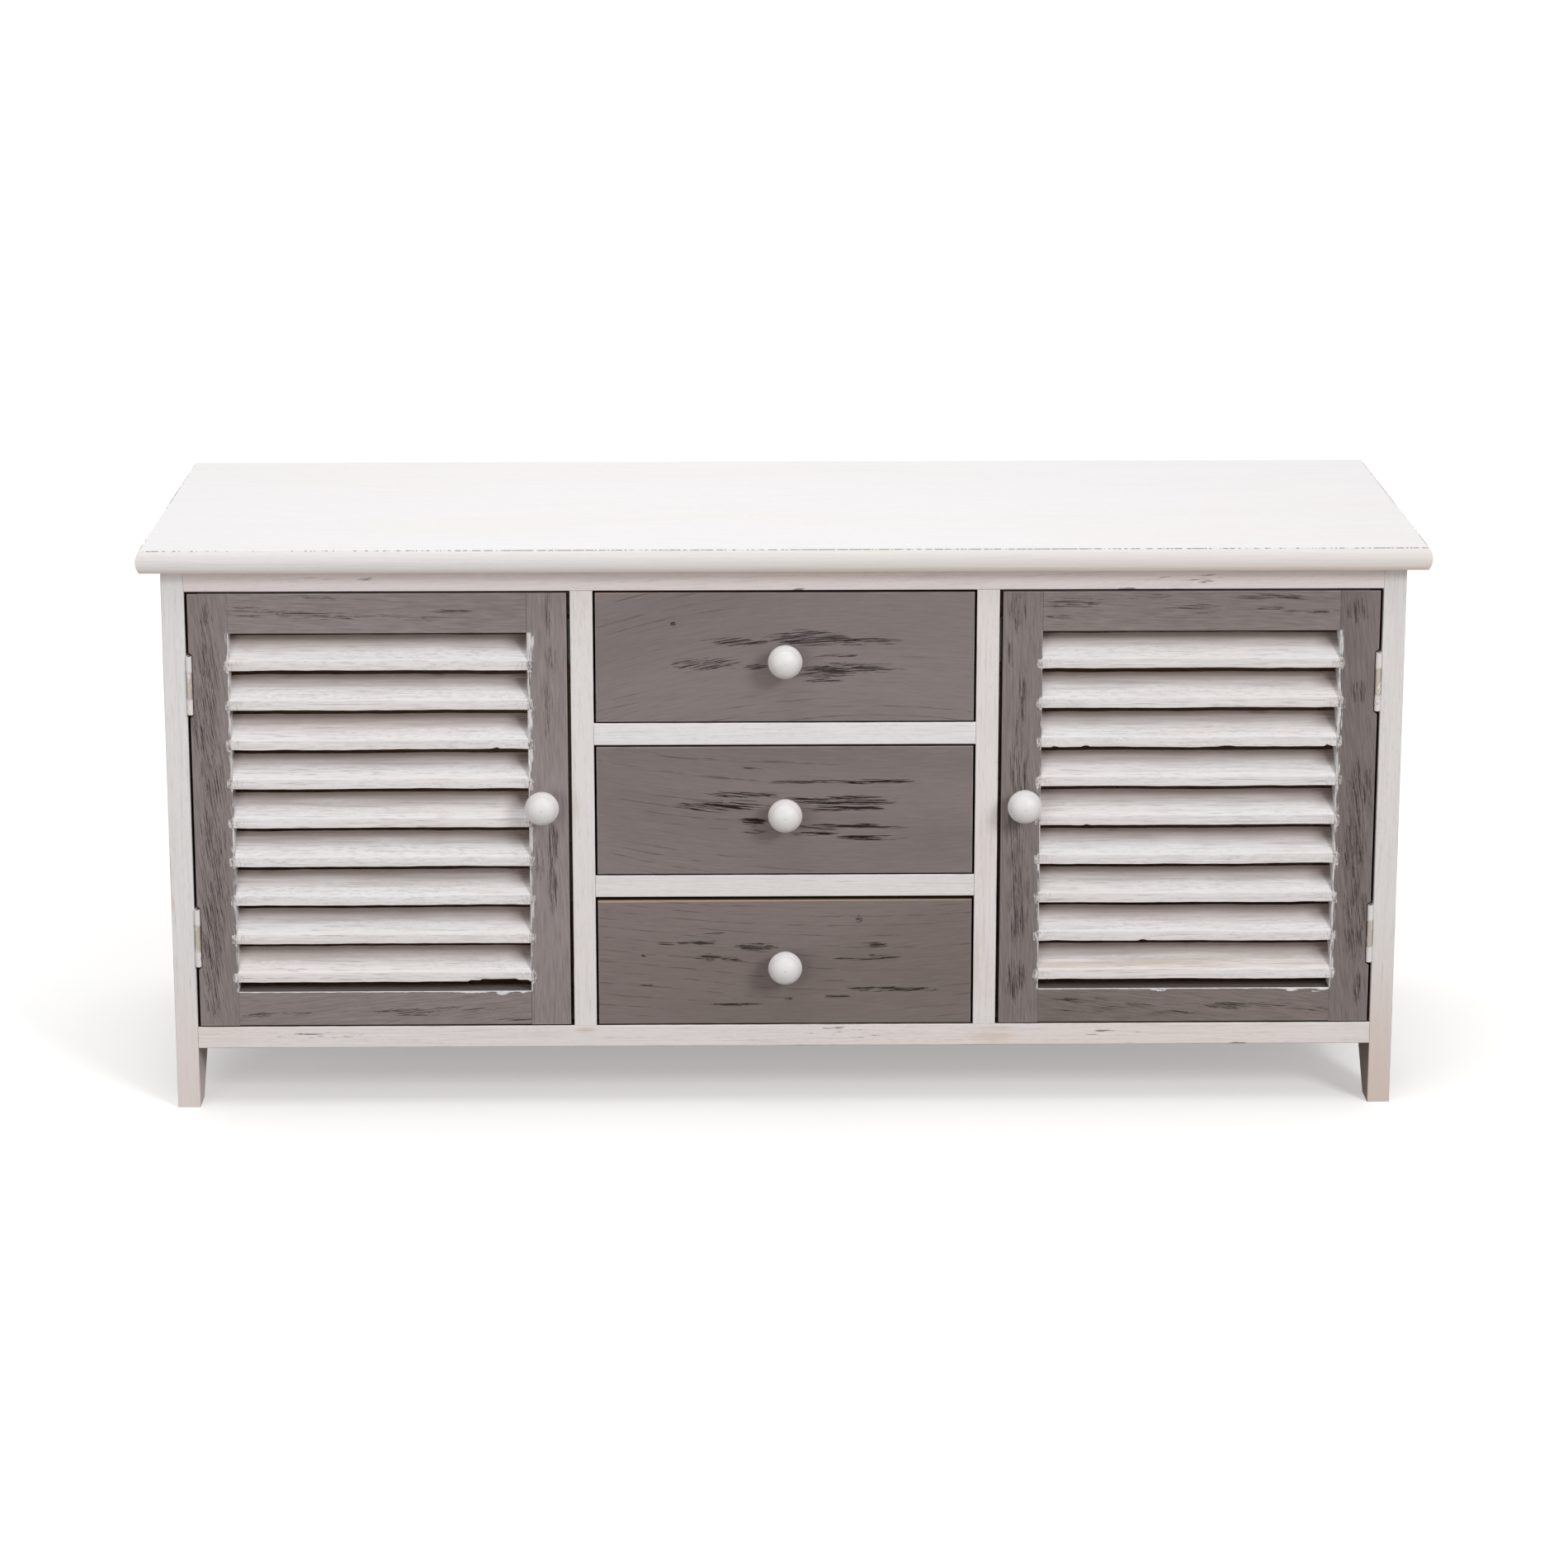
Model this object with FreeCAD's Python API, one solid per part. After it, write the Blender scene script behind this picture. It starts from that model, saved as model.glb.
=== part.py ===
import FreeCAD, Part
import math
import os

# Low cabinet with a louvred door on each side of three stacked drawers, in millimetres.
# +Z is up, the front faces -Y, and +X is to the right as seen from the front.
# The origin is on the floor, at the middle of the whole cabinet in X and Y.

# Top board
top_width = 900.0
top_depth = 320.0
top_thickness = 16.0
top_side_overhang = 15.0
top_front_overhang = 15.0
top_nose = 2.3  # how far the rounded edges stand out past their own corners

# Carcase boards
side_thickness = 16.0
divider_thickness = 16.0
bottom_thickness = 16.0
opening_height = 318.5  # bottom panel to top rail
top_rail_height = 16.0
top_rail_depth = 40.0
drawer_rail_height = 16.0
drawer_rail_depth = 40.0
back_thickness = 4.0
back_lap = 8.0  # how far the back panel laps into each side panel
board_ease = 0.8  # radius of the boards' long edges

# Feet, which the cut-out leaves at the front and back of each side panel
foot_height = 44.5  # floor to bottom panel
foot_cut_height = 40.0
foot_depth = 22.0  # at the floor
foot_slope_run = 36.0  # how much deeper a foot is at the top of the cut-out

# Doors
door_thickness = 16.0
door_lock_gap = 2.4
door_top_gap = 1.5
door_bottom_gap = 1.0
door_stile_width = 28.0
door_top_rail_height = 28.5
door_bottom_rail_height = 25.0
tenon_length = 14.0
tenon_thickness = 6.0
tenon_shoulder = 4.0  # how far a tenon stands in from its rail's edges

# Louvre slats: flat boards whose front and back edges are cut upright
slat_count = 9
slat_edge = 6.5  # height of the upright edge
slat_rise = 16.5  # from the front edge to the back edge
slat_back_inset = 2.0  # from the back of the door
slat_housing = 4.0  # how far an end is let into its stile
slat_ease = 0.4
lowest_slat_gap = 7.0  # bottom rail to the lowest slat
highest_slat_gap = 4.0  # highest slat to the top rail

# Butt hinges
hinge_length = 42.0
hinge_end_distance = 65.5  # from a door's end to the middle of its hinge
hinge_leaf_width = 16.0  # from the pin's axis
hinge_leaf_thickness = 0.95
hinge_leaf_gap = 0.1  # between the two leaves of a closed hinge
hinge_barrel_radius = 2.0
hinge_barrel_gap = 0.2  # between the barrel and the side panel's face
hinge_pin_radius = 1.0
hinge_pin_clearance = 0.05
hinge_knuckle_gap = 0.3
hinge_axis_proud = 0.5  # how far the pin's axis stands in front of the doors
hinge_notch_clearance = 0.5  # round the barrel, in the door's edge
hinge_notch_slant = 2.5  # run of the notch's slanted ends
middle_knuckle_share = 0.46
hinge_screw_radius = 1.1
hinge_screw_head_radius = 2.1
hinge_screw_length = 11.0
hinge_screw_height_shares = (0.2, 0.8)
hinge_screw_reach_share = 0.6

# Knobs, turned in one piece
knob_radius = 12.0
knob_base_radius = 7.5
knob_base_length = 2.0
knob_neck_radius = 5.5
knob_neck_length = 4.3
knob_dome = 9.5  # from the widest ring to the tip
knob_screw_radius = 2.0
knob_screw_grip = 10.0  # how deep the screw goes into the knob
knob_screw_head_radius = 4.0
knob_screw_head_height = 2.4
screw_clearance = 0.05
left_knob_inset_share = 0.65  # of the lock stile's width, from the door's edge
right_knob_inset_share = 0.565
door_knob_rise = 6.0  # above the middle of the door

# Door catches and the plates that they hold
catch_width = 12.0
catch_depth = 14.0
catch_height = 32.0
catch_drop = 24.0  # below the top rail
catch_gap = 0.3
strike_width = 9.0
strike_height = 26.0
strike_thickness = 1.0
strike_inset = 1.0  # from the door's edge

# Drawers, from the top one down
drawer_top_gaps = (1.5, 1.3, 2.6)
drawer_side_gap = 1.5
drawer_bottom_gap = 0.9
drawer_run_gap = 0.3  # between a drawer's sides and what they run on
drawer_rear_gap = 0.5
drawer_headroom = 17.0  # above a drawer's sides
drawer_front_thickness = 16.0
drawer_side_thickness = 10.0
drawer_back_thickness = 10.0
drawer_back_drop = 8.0  # below the top of the sides
drawer_bottom_thickness = 4.0
drawer_bottom_rise = 8.0  # above the lower edge of the sides
drawer_groove = 5.0
drawer_front_housing = 8.0  # how far a side is let into the front
runner_width = 12.0

# Fasteners inside the carcase
dowel_radius = 4.0
dowel_length = 20.0
bottom_dowel_shares = (0.15, 0.5, 0.85)
divider_dowel_shares = (0.2, 0.8)
nail_radius = 0.8
nail_length = 18.0
nail_head_radius = 1.9
nail_head_height = 0.6
nail_height_shares = (0.1, 0.36, 0.63, 0.89)
top_screw_radius = 1.9
top_screw_head_radius = 3.8
top_screw_head_height = 2.5
top_screw_grip = 10.0  # how deep the screw goes into the top

overrun = 5.0  # how far a cut runs past the faces that it opens
same_place = 0.001  # points closer than this are one point

# Places that follow from the sizes
carcase_width = top_width - 2 * top_side_overhang
carcase_depth = top_depth - top_front_overhang
bay_width = (carcase_width - 2 * side_thickness - 2 * divider_thickness) / 3
bay_pitch = bay_width + divider_thickness
side_inner_x = carcase_width / 2 - side_thickness
divider_inner_x = bay_width / 2
divider_outer_x = divider_inner_x + divider_thickness

knob_head_length = knob_neck_length + math.sqrt(knob_radius ** 2 - knob_neck_radius ** 2)
knob_length = knob_head_length + knob_dome
front_reach = max(knob_length, top_front_overhang)
front_y = front_reach - (front_reach + carcase_depth) / 2
back_y = front_y + carcase_depth
back_panel_y = back_y - back_thickness
back_rail_y = back_panel_y - top_rail_depth

opening_bottom_z = foot_height + bottom_thickness
opening_top_z = opening_bottom_z + opening_height
carcase_top_z = opening_top_z + top_rail_height
drawer_opening = (opening_height - 2 * drawer_rail_height) / 3
drawer_pitch = drawer_opening + drawer_rail_height

door_hinge_gap = 2 * hinge_leaf_thickness + hinge_leaf_gap
door_hinge_x = -side_inner_x + door_hinge_gap
door_lock_x = -divider_outer_x - door_lock_gap
door_bottom_z = opening_bottom_z + door_bottom_gap
door_top_z = opening_top_z - door_top_gap
door_back_y = front_y + door_thickness
louvre_left_x = door_hinge_x + door_stile_width
louvre_right_x = door_lock_x - door_stile_width
louvre_bottom_z = door_bottom_z + door_bottom_rail_height
louvre_top_z = door_top_z - door_top_rail_height

hinge_axis_x = -side_inner_x + hinge_barrel_radius + hinge_barrel_gap
hinge_axis_y = front_y - hinge_axis_proud
hinge_heights = (door_bottom_z + hinge_end_distance, door_top_z - hinge_end_distance)

X = FreeCAD.Vector(1, 0, 0)
Y = FreeCAD.Vector(0, 1, 0)
Z = FreeCAD.Vector(0, 0, 1)


def point(x, y, z):
    return FreeCAD.Vector(x, y, z)


def board(x0, x1, y0, y1, z0, z1):
    """A square-edged board between two corners."""
    return Part.makeBox(x1 - x0, y1 - y0, z1 - z0, point(x0, y0, z0))


def prism(corners, along):
    """A solid with straight sides: an outline, swept along a vector."""
    return Part.Face(Part.makePolygon(corners + corners[:1])).extrude(along)


def eased(shape, radius, directions, front_only=True):
    """Round the edges that run along any of the directions, in front or all round."""
    chosen = []
    for edge in shape.Edges:
        run = edge.Vertexes[-1].Point - edge.Vertexes[0].Point
        in_front = edge.BoundBox.YMax - shape.BoundBox.YMin < same_place
        along = any(run.cross(direction).Length < same_place for direction in directions)
        if along and (in_front or not front_only):
            chosen.append(edge)
    return shape.makeFillet(radius, chosen)


def mirrored(shape):
    """The same piece on the other side of the cabinet."""
    return shape.mirror(point(0, 0, 0), X)


def screw(seat, direction, length, radius, head_radius, head_height, grow=0):
    """A countersunk screw whose head's flat face is at the seat, or its hole if it is grown."""
    head = Part.makeCone(head_radius + grow, radius + grow, head_height, seat, direction)
    shank = Part.makeCylinder(radius + grow, length + grow, seat, direction)
    return head.fuse(shank).removeSplitter()


def dowel(middle, direction):
    """A dowel that lies half on each side of a joint."""
    start = middle - direction * (dowel_length / 2)
    return Part.makeCylinder(dowel_radius, dowel_length, start, direction)


# Fasteners of the carcase

def carcase_dowels():
    found = []
    for side in (-1, 1):
        for share in bottom_dowel_shares:
            y = front_y + (back_panel_y - front_y) * share
            found.append(dowel(point(side * side_inner_x, y, foot_height + bottom_thickness / 2), X))
        for y in (front_y + top_rail_depth / 2, back_rail_y + top_rail_depth / 2):
            found.append(dowel(point(side * side_inner_x, y, opening_top_z + top_rail_height / 2), X))
        for z in drawer_rail_heights():
            y = front_y + drawer_rail_depth / 2
            found.append(dowel(point(side * divider_inner_x, y, z + drawer_rail_height / 2), X))
        for share in divider_dowel_shares:
            y = front_y + (back_panel_y - front_y) * share
            x = side * (divider_inner_x + divider_outer_x) / 2
            found.append(dowel(point(x, y, opening_bottom_z), Z))
    return found


def nail(x, z):
    """A nail through the back panel, with its head against the panel's back."""
    shank = Part.makeCylinder(nail_radius, nail_length, point(x, back_y, z), -Y)
    head = Part.makeCylinder(nail_head_radius, nail_head_height, point(x, back_y, z), -Y)
    return shank.fuse(head).removeSplitter()


def back_panel_nails():
    uprights = (side_inner_x + back_lap / 2, (divider_inner_x + divider_outer_x) / 2)
    found = []
    for x in uprights:
        for share in nail_height_shares:
            z = foot_height + (carcase_top_z - foot_height) * share
            found += [nail(-x, z), nail(x, z)]
    for bay in (-1, 0, 1):
        found.append(nail(bay * bay_pitch, foot_height + bottom_thickness / 2))
        found.append(nail(bay * bay_pitch, opening_top_z + top_rail_height / 2))
    return found


def top_screws(grow=0):
    """Screws that go up through both top rails into the top board."""
    found = []
    for bay in (-1, 0, 1):
        for y in (front_y + top_rail_depth / 2, back_rail_y + top_rail_depth / 2):
            seat = point(bay * bay_pitch, y, opening_top_z)
            found.append(screw(seat, Z, top_rail_height + top_screw_grip, top_screw_radius,
                               top_screw_head_radius, top_screw_head_height, grow))
    return found


# Carcase boards

def drawer_rail_heights():
    """Lower faces of the rails between the drawers, from the lower rail up."""
    return [opening_bottom_z + drawer_opening + n * drawer_pitch for n in range(2)]


def nosed_profile(low, high, z0, z1, nose_low, nose_high, place):
    """An outline of the top board, with a rounded edge at one or both ends."""
    middle = (z0 + z1) / 2
    start = low + nose_low
    end = high - nose_high
    edges = [Part.makeLine(place(start, z1), place(end, z1))]
    if nose_high:
        edges.append(Part.Arc(place(end, z1), place(high, middle), place(end, z0)).toShape())
    else:
        edges.append(Part.makeLine(place(end, z1), place(end, z0)))
    edges.append(Part.makeLine(place(end, z0), place(start, z0)))
    edges.append(Part.Arc(place(start, z0), place(low, middle), place(start, z1)).toShape())
    return Part.Face(Part.Wire(edges))


def top_panel():
    """The top board, rounded at its front and ends, so that the roundings meet at the corners."""
    z0 = carcase_top_z
    z1 = z0 + top_thickness
    half = top_width / 2
    y0 = front_y - top_front_overhang
    lengthwise = nosed_profile(y0, back_y, z0, z1, top_nose, 0, lambda y, z: point(-half, y, z))
    crosswise = nosed_profile(-half, half, z0, z1, top_nose, top_nose, lambda x, z: point(x, y0, z))
    solid = lengthwise.extrude(X * top_width).common(crosswise.extrude(Y * top_depth))
    for hole in top_screws(screw_clearance):
        solid = solid.cut(hole)
    return solid


def left_side_panel(dowels, nails, screw_holes):
    x = -carcase_width / 2
    slope_front = front_y + foot_depth
    slope_back = back_y - foot_depth
    outline = [
        point(x, front_y, 0),
        point(x, slope_front, 0),
        point(x, slope_front + foot_slope_run, foot_cut_height),
        point(x, slope_back - foot_slope_run, foot_cut_height),
        point(x, slope_back, 0),
        point(x, back_y, 0),
        point(x, back_y, carcase_top_z),
        point(x, front_y, carcase_top_z),
    ]
    panel = eased(prism(outline, X * side_thickness), board_ease, [Z])
    rebate = board(-side_inner_x - back_lap, -side_inner_x + overrun, back_panel_y, back_y + overrun,
                   foot_height, carcase_top_z + overrun)
    return panel.cut([rebate] + dowels + nails + screw_holes)


def bottom_panel(dowels, nails):
    panel = board(-side_inner_x, side_inner_x, front_y, back_panel_y, foot_height, opening_bottom_z)
    return eased(panel, board_ease, [X]).cut(dowels + nails)


def back_panel(nails):
    half = side_inner_x + back_lap
    return board(-half, half, back_panel_y, back_y, foot_height, carcase_top_z).cut(nails)


def top_rail_space(y0):
    """The room that a top rail takes up, before its edges are eased."""
    return board(-side_inner_x, side_inner_x, y0, y0 + top_rail_depth, opening_top_z, carcase_top_z)


def top_rail(y0, dowels, nails):
    rail = eased(top_rail_space(y0), board_ease, [X])
    return rail.cut(dowels + nails + top_screws(screw_clearance))


def left_divider(dowels, nails):
    """A board from the bottom panel to the top, notched round both top rails."""
    divider = board(-divider_outer_x, -divider_inner_x, front_y, back_panel_y,
                    opening_bottom_z, carcase_top_z)
    notches = [top_rail_space(front_y), top_rail_space(back_rail_y)]
    return eased(divider, board_ease, [Z]).cut(notches + dowels + nails)


def drawer_rail(z, dowels):
    rail = board(-divider_inner_x, divider_inner_x, front_y, front_y + drawer_rail_depth,
                 z, z + drawer_rail_height)
    return eased(rail, board_ease, [X]).cut(dowels)


def drawer_runners():
    """Strips on the dividers, level with the drawer rails and behind them."""
    y0 = front_y + drawer_rail_depth
    found = []
    for z in drawer_rail_heights():
        x0 = -divider_inner_x
        strip = board(x0, x0 + runner_width, y0, back_panel_y, z, z + drawer_rail_height)
        found += [strip, mirrored(strip)]
    return found


# Hinges of the left door, which the right door mirrors

def hinge_part(z0, z1, leaf_x, knuckles, spaces):
    """A leaf with its knuckles, cut clear of the knuckles that belong to the other leaf."""
    x0, x1 = leaf_x
    bore = hinge_pin_radius + hinge_pin_clearance
    leaf = board(x0, x1, hinge_axis_y, hinge_axis_y + hinge_leaf_width, z0, z1)
    for low, high in spaces:
        room = Part.makeCylinder(hinge_barrel_radius + hinge_knuckle_gap, high - low,
                                 point(hinge_axis_x, hinge_axis_y, low), Z)
        leaf = leaf.cut(room)
    for low, high in knuckles:
        leaf = leaf.fuse(Part.makeCylinder(hinge_barrel_radius, high - low,
                                           point(hinge_axis_x, hinge_axis_y, low), Z))
    hole = Part.makeCylinder(bore, z1 - z0 + 2 * overrun,
                             point(hinge_axis_x, hinge_axis_y, z0 - overrun), Z)
    return leaf.cut(hole).removeSplitter()


def hinge_screws(direction, grow=0):
    """Four screws through the leaves of a door's two hinges, into the frame or into the door."""
    if direction.x < 0:
        seat_x = -side_inner_x + hinge_leaf_thickness
    else:
        seat_x = door_hinge_x - hinge_leaf_thickness
    y = hinge_axis_y + hinge_leaf_width * hinge_screw_reach_share
    found = []
    for middle in hinge_heights:
        for share in hinge_screw_height_shares:
            z = middle - hinge_length / 2 + hinge_length * share
            found.append(screw(point(seat_x, y, z), direction, hinge_screw_length, hinge_screw_radius,
                               hinge_screw_head_radius, hinge_leaf_thickness, grow))
    return found


def hinge_leaves():
    """The leaves on the frame, the leaves on the door and the pins of the left door's hinges."""
    frame_leaf_x = (-side_inner_x, -side_inner_x + hinge_leaf_thickness)
    door_leaf_x = (door_hinge_x - hinge_leaf_thickness, door_hinge_x)
    frame_holes = hinge_screws(-X, screw_clearance)
    door_holes = hinge_screws(X, screw_clearance)
    frame_leaves = []
    door_leaves = []
    pins = []
    for middle in hinge_heights:
        z0 = middle - hinge_length / 2
        z1 = middle + hinge_length / 2
        low = middle - hinge_length * middle_knuckle_share / 2
        high = middle + hinge_length * middle_knuckle_share / 2
        ends = [(z0, low - hinge_knuckle_gap), (high + hinge_knuckle_gap, z1)]
        frame_room = [(low - hinge_knuckle_gap, high + hinge_knuckle_gap)]
        door_room = [(z0 - overrun, low), (high, z1 + overrun)]
        frame_leaves.append(hinge_part(z0, z1, frame_leaf_x, ends, frame_room).cut(frame_holes))
        door_leaves.append(hinge_part(z0, z1, door_leaf_x, [(low, high)], door_room).cut(door_holes))
        pins.append(Part.makeCylinder(hinge_pin_radius, hinge_length,
                                      point(hinge_axis_x, hinge_axis_y, z0), Z))
    return frame_leaves, door_leaves, pins


def hinge_notches():
    """Room for the barrels in the front arris of the hinge stile, with slanted ends."""
    deep = hinge_axis_x + hinge_barrel_radius + hinge_notch_clearance
    back = hinge_axis_y + hinge_barrel_radius + hinge_notch_clearance
    run = hinge_length / 2 + hinge_notch_clearance
    y0 = front_y - overrun
    found = []
    for middle in hinge_heights:
        corners = [
            point(door_hinge_x, y0, middle - run - hinge_notch_slant),
            point(deep, y0, middle - run),
            point(deep, y0, middle + run),
            point(door_hinge_x, y0, middle + run + hinge_notch_slant),
        ]
        found.append(prism(corners, Y * (back - y0)))
    return found


# Knobs

def knob(x, z):
    """A knob turned about its screw, with its seat in the plane of the front."""
    def place(radius, length):
        return point(x + radius, front_y - length, z)
    ball_start = math.asin(knob_neck_radius / knob_radius)
    ball_middle = (ball_start + math.pi / 2) / 2
    dome_radius = (knob_radius ** 2 + knob_dome ** 2) / (2 * knob_dome)
    dome_centre = knob_length - dome_radius
    dome_middle = math.atan2(knob_radius, knob_head_length - dome_centre) / 2
    neck_end = place(knob_neck_radius, knob_neck_length)
    widest = place(knob_radius, knob_head_length)
    ball_point = place(knob_radius * math.sin(ball_middle),
                       knob_head_length - knob_radius * math.cos(ball_middle))
    dome_point = place(dome_radius * math.sin(dome_middle),
                       dome_centre + dome_radius * math.cos(dome_middle))
    tip = place(0, knob_length)
    edges = [
        Part.makeLine(place(0, 0), place(knob_base_radius, 0)),
        Part.makeLine(place(knob_base_radius, 0), place(knob_base_radius, knob_base_length)),
        Part.makeLine(place(knob_base_radius, knob_base_length), neck_end),
        Part.Arc(neck_end, ball_point, widest).toShape(),
        Part.Arc(widest, dome_point, tip).toShape(),
        Part.makeLine(tip, place(0, 0)),
    ]
    turned = Part.Face(Part.Wire(edges)).revolve(point(x, front_y, z), Y)
    hole = Part.makeCylinder(knob_screw_radius + screw_clearance, knob_screw_grip + screw_clearance,
                             point(x, front_y, z), -Y)
    return turned.cut(hole)


def knob_screw(x, z, back, grow=0):
    """A pan-head screw through a front board into its knob, or its hole if it is grown."""
    head = Part.makeCylinder(knob_screw_head_radius, knob_screw_head_height, point(x, back, z), Y)
    shank = Part.makeCylinder(knob_screw_radius + grow, back - front_y + knob_screw_grip,
                              point(x, back, z), -Y)
    return shank if grow else head.fuse(shank).removeSplitter()


# The left door, which the right door mirrors

def slat_bottoms():
    """Heights of the slats' front lower edges, evenly spaced between the rails."""
    lowest = louvre_bottom_z + lowest_slat_gap
    highest = louvre_top_z - highest_slat_gap - slat_edge - slat_rise
    step = (highest - lowest) / (slat_count - 1)
    return [lowest + n * step for n in range(slat_count)]


def slat(z):
    x = louvre_left_x - slat_housing
    back = door_back_y - slat_back_inset
    corners = [
        point(x, front_y, z),
        point(x, front_y, z + slat_edge),
        point(x, back, z + slat_edge + slat_rise),
        point(x, back, z + slat_rise),
    ]
    return prism(corners, X * (louvre_right_x - louvre_left_x + 2 * slat_housing))


def door_rail(z0, z1):
    """A rail with a tenon at each end."""
    rail = board(louvre_left_x, louvre_right_x, front_y, door_back_y, z0, z1)
    rail = eased(rail, board_ease, [X], front_only=False)
    middle = (front_y + door_back_y) / 2
    tenons = board(louvre_left_x - tenon_length, louvre_right_x + tenon_length,
                   middle - tenon_thickness / 2, middle + tenon_thickness / 2,
                   z0 + tenon_shoulder, z1 - tenon_shoulder)
    return rail.fuse(tenons).removeSplitter()


def door_stile(x0, x1):
    stile = board(x0, x1, front_y, door_back_y, door_bottom_z, door_top_z)
    return eased(stile, board_ease, [Z], front_only=False)


def door(knob_inset_share):
    """Every piece of a door that is hinged on the left."""
    bottom_rail = door_rail(door_bottom_z, louvre_bottom_z)
    top_rail_piece = door_rail(louvre_top_z, door_top_z)
    slats = [slat(z) for z in slat_bottoms()]
    housings = slats + [bottom_rail, top_rail_piece]
    knob_x = door_lock_x - door_stile_width * knob_inset_share
    knob_z = (door_bottom_z + door_top_z) / 2 + door_knob_rise
    knob_hole = knob_screw(knob_x, knob_z, door_back_y, screw_clearance)
    hinge_stile = door_stile(door_hinge_x, louvre_left_x)
    lock_stile = door_stile(louvre_right_x, door_lock_x)
    strike_x = door_lock_x - strike_inset
    strike_z = opening_top_z - catch_drop - catch_height / 2
    strike = board(strike_x - strike_width, strike_x, door_back_y, door_back_y + strike_thickness,
                   strike_z - strike_height / 2, strike_z + strike_height / 2)
    return {
        "hinge_stile": hinge_stile.cut(housings + hinge_notches() + hinge_screws(X, screw_clearance)),
        "lock_stile": lock_stile.cut(housings + [knob_hole]),
        "top_rail": top_rail_piece,
        "bottom_rail": bottom_rail,
        "slats": Part.makeCompound([eased(piece, slat_ease, [X]) for piece in slats]),
        "knob": knob(knob_x, knob_z),
        "knob_screw": knob_screw(knob_x, knob_z, door_back_y),
        "hinge_leaves": Part.makeCompound(hinge_leaves()[1]),
        "hinge_screws": Part.makeCompound(hinge_screws(X)),
        "strike_plate": strike,
    }


def left_catch():
    """A magnetic catch on the left divider, just behind the door's strike plate."""
    y0 = door_back_y + strike_thickness + catch_gap
    z1 = opening_top_z - catch_drop
    return board(-divider_outer_x - catch_width, -divider_outer_x, y0, y0 + catch_depth,
                 z1 - catch_height, z1)


# Drawers

def drawer(number):
    """Every piece of a drawer, counted from the top one."""
    floor = opening_bottom_z + (2 - number) * drawer_pitch
    half = divider_inner_x - drawer_side_gap
    front_back_y = front_y + drawer_front_thickness
    rear_y = back_panel_y - drawer_rear_gap
    side_z0 = floor + drawer_run_gap
    side_z1 = floor + drawer_opening - drawer_headroom
    inner = half - drawer_side_thickness
    bottom_z = side_z0 + drawer_bottom_rise
    bottom_top_z = bottom_z + drawer_bottom_thickness
    front_z0 = floor + drawer_bottom_gap
    front_z1 = floor + drawer_opening - drawer_top_gaps[number]
    knob_z = (front_z0 + front_z1) / 2

    bottom = board(-inner - drawer_groove, inner + drawer_groove, front_back_y - drawer_groove, rear_y,
                   bottom_z, bottom_top_z)
    side = board(-half, -inner, front_back_y - drawer_front_housing, rear_y, side_z0, side_z1)
    back = board(-inner, inner, rear_y - drawer_back_thickness, rear_y,
                 bottom_top_z, side_z1 - drawer_back_drop)
    front = eased(board(-half, half, front_y, front_back_y, front_z0, front_z1), board_ease, [X, Z])
    hole = knob_screw(0, knob_z, front_back_y, screw_clearance)
    return {
        "front": front.cut([side, mirrored(side), bottom, hole]),
        "left_side": side.cut(bottom),
        "right_side": mirrored(side).cut(bottom),
        "back": back,
        "bottom": bottom,
        "knob": knob(0, knob_z),
        "knob_screw": knob_screw(0, knob_z, front_back_y),
    }


def pieces():
    """Every piece by its name."""
    dowels = carcase_dowels()
    nails = back_panel_nails()
    frame_leaves, _, pins = hinge_leaves()
    side = left_side_panel(dowels, nails, hinge_screws(-X, screw_clearance))
    front_rail = top_rail(front_y, dowels, nails)
    back_rail = top_rail(back_rail_y, dowels, nails)
    divider = left_divider(dowels, nails)
    lower_z, upper_z = drawer_rail_heights()
    frame_screws = hinge_screws(-X)
    found = {
        "top_panel": top_panel(),
        "left_side_panel": side,
        "right_side_panel": mirrored(side),
        "bottom_panel": bottom_panel(dowels, nails),
        "back_panel": back_panel(nails),
        "left_divider": divider,
        "right_divider": mirrored(divider),
        "top_front_rail": front_rail,
        "top_back_rail": back_rail,
        "upper_drawer_rail": drawer_rail(upper_z, dowels),
        "lower_drawer_rail": drawer_rail(lower_z, dowels),
        "drawer_runners": Part.makeCompound(drawer_runners()),
        "hinge_frame_leaves": Part.makeCompound(frame_leaves + [mirrored(s) for s in frame_leaves]),
        "hinge_pins": Part.makeCompound(pins + [mirrored(s) for s in pins]),
        "hinge_frame_screws": Part.makeCompound(frame_screws + [mirrored(s) for s in frame_screws]),
        "door_catches": Part.makeCompound([left_catch(), mirrored(left_catch())]),
        "back_panel_nails": Part.makeCompound(nails),
        "carcase_dowels": Part.makeCompound(dowels),
        "top_screws": Part.makeCompound(top_screws()),
    }
    for name, shape in door(left_knob_inset_share).items():
        found["left_door_" + name] = shape
    for name, shape in door(right_knob_inset_share).items():
        found["right_door_" + name] = mirrored(shape)
    for number, which in enumerate(("top", "middle", "bottom")):
        for name, shape in drawer(number).items():
            found[which + "_drawer_" + name] = shape
    return found


def main():
    os.makedirs("parts", exist_ok=True)
    for name, shape in pieces().items():
        shape.exportStep("parts/" + name + ".step")


if __name__ == "__main__":
    main()
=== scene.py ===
"""The looks of a louvred door cabinet in white and grey worn paint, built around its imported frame."""
import math

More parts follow.
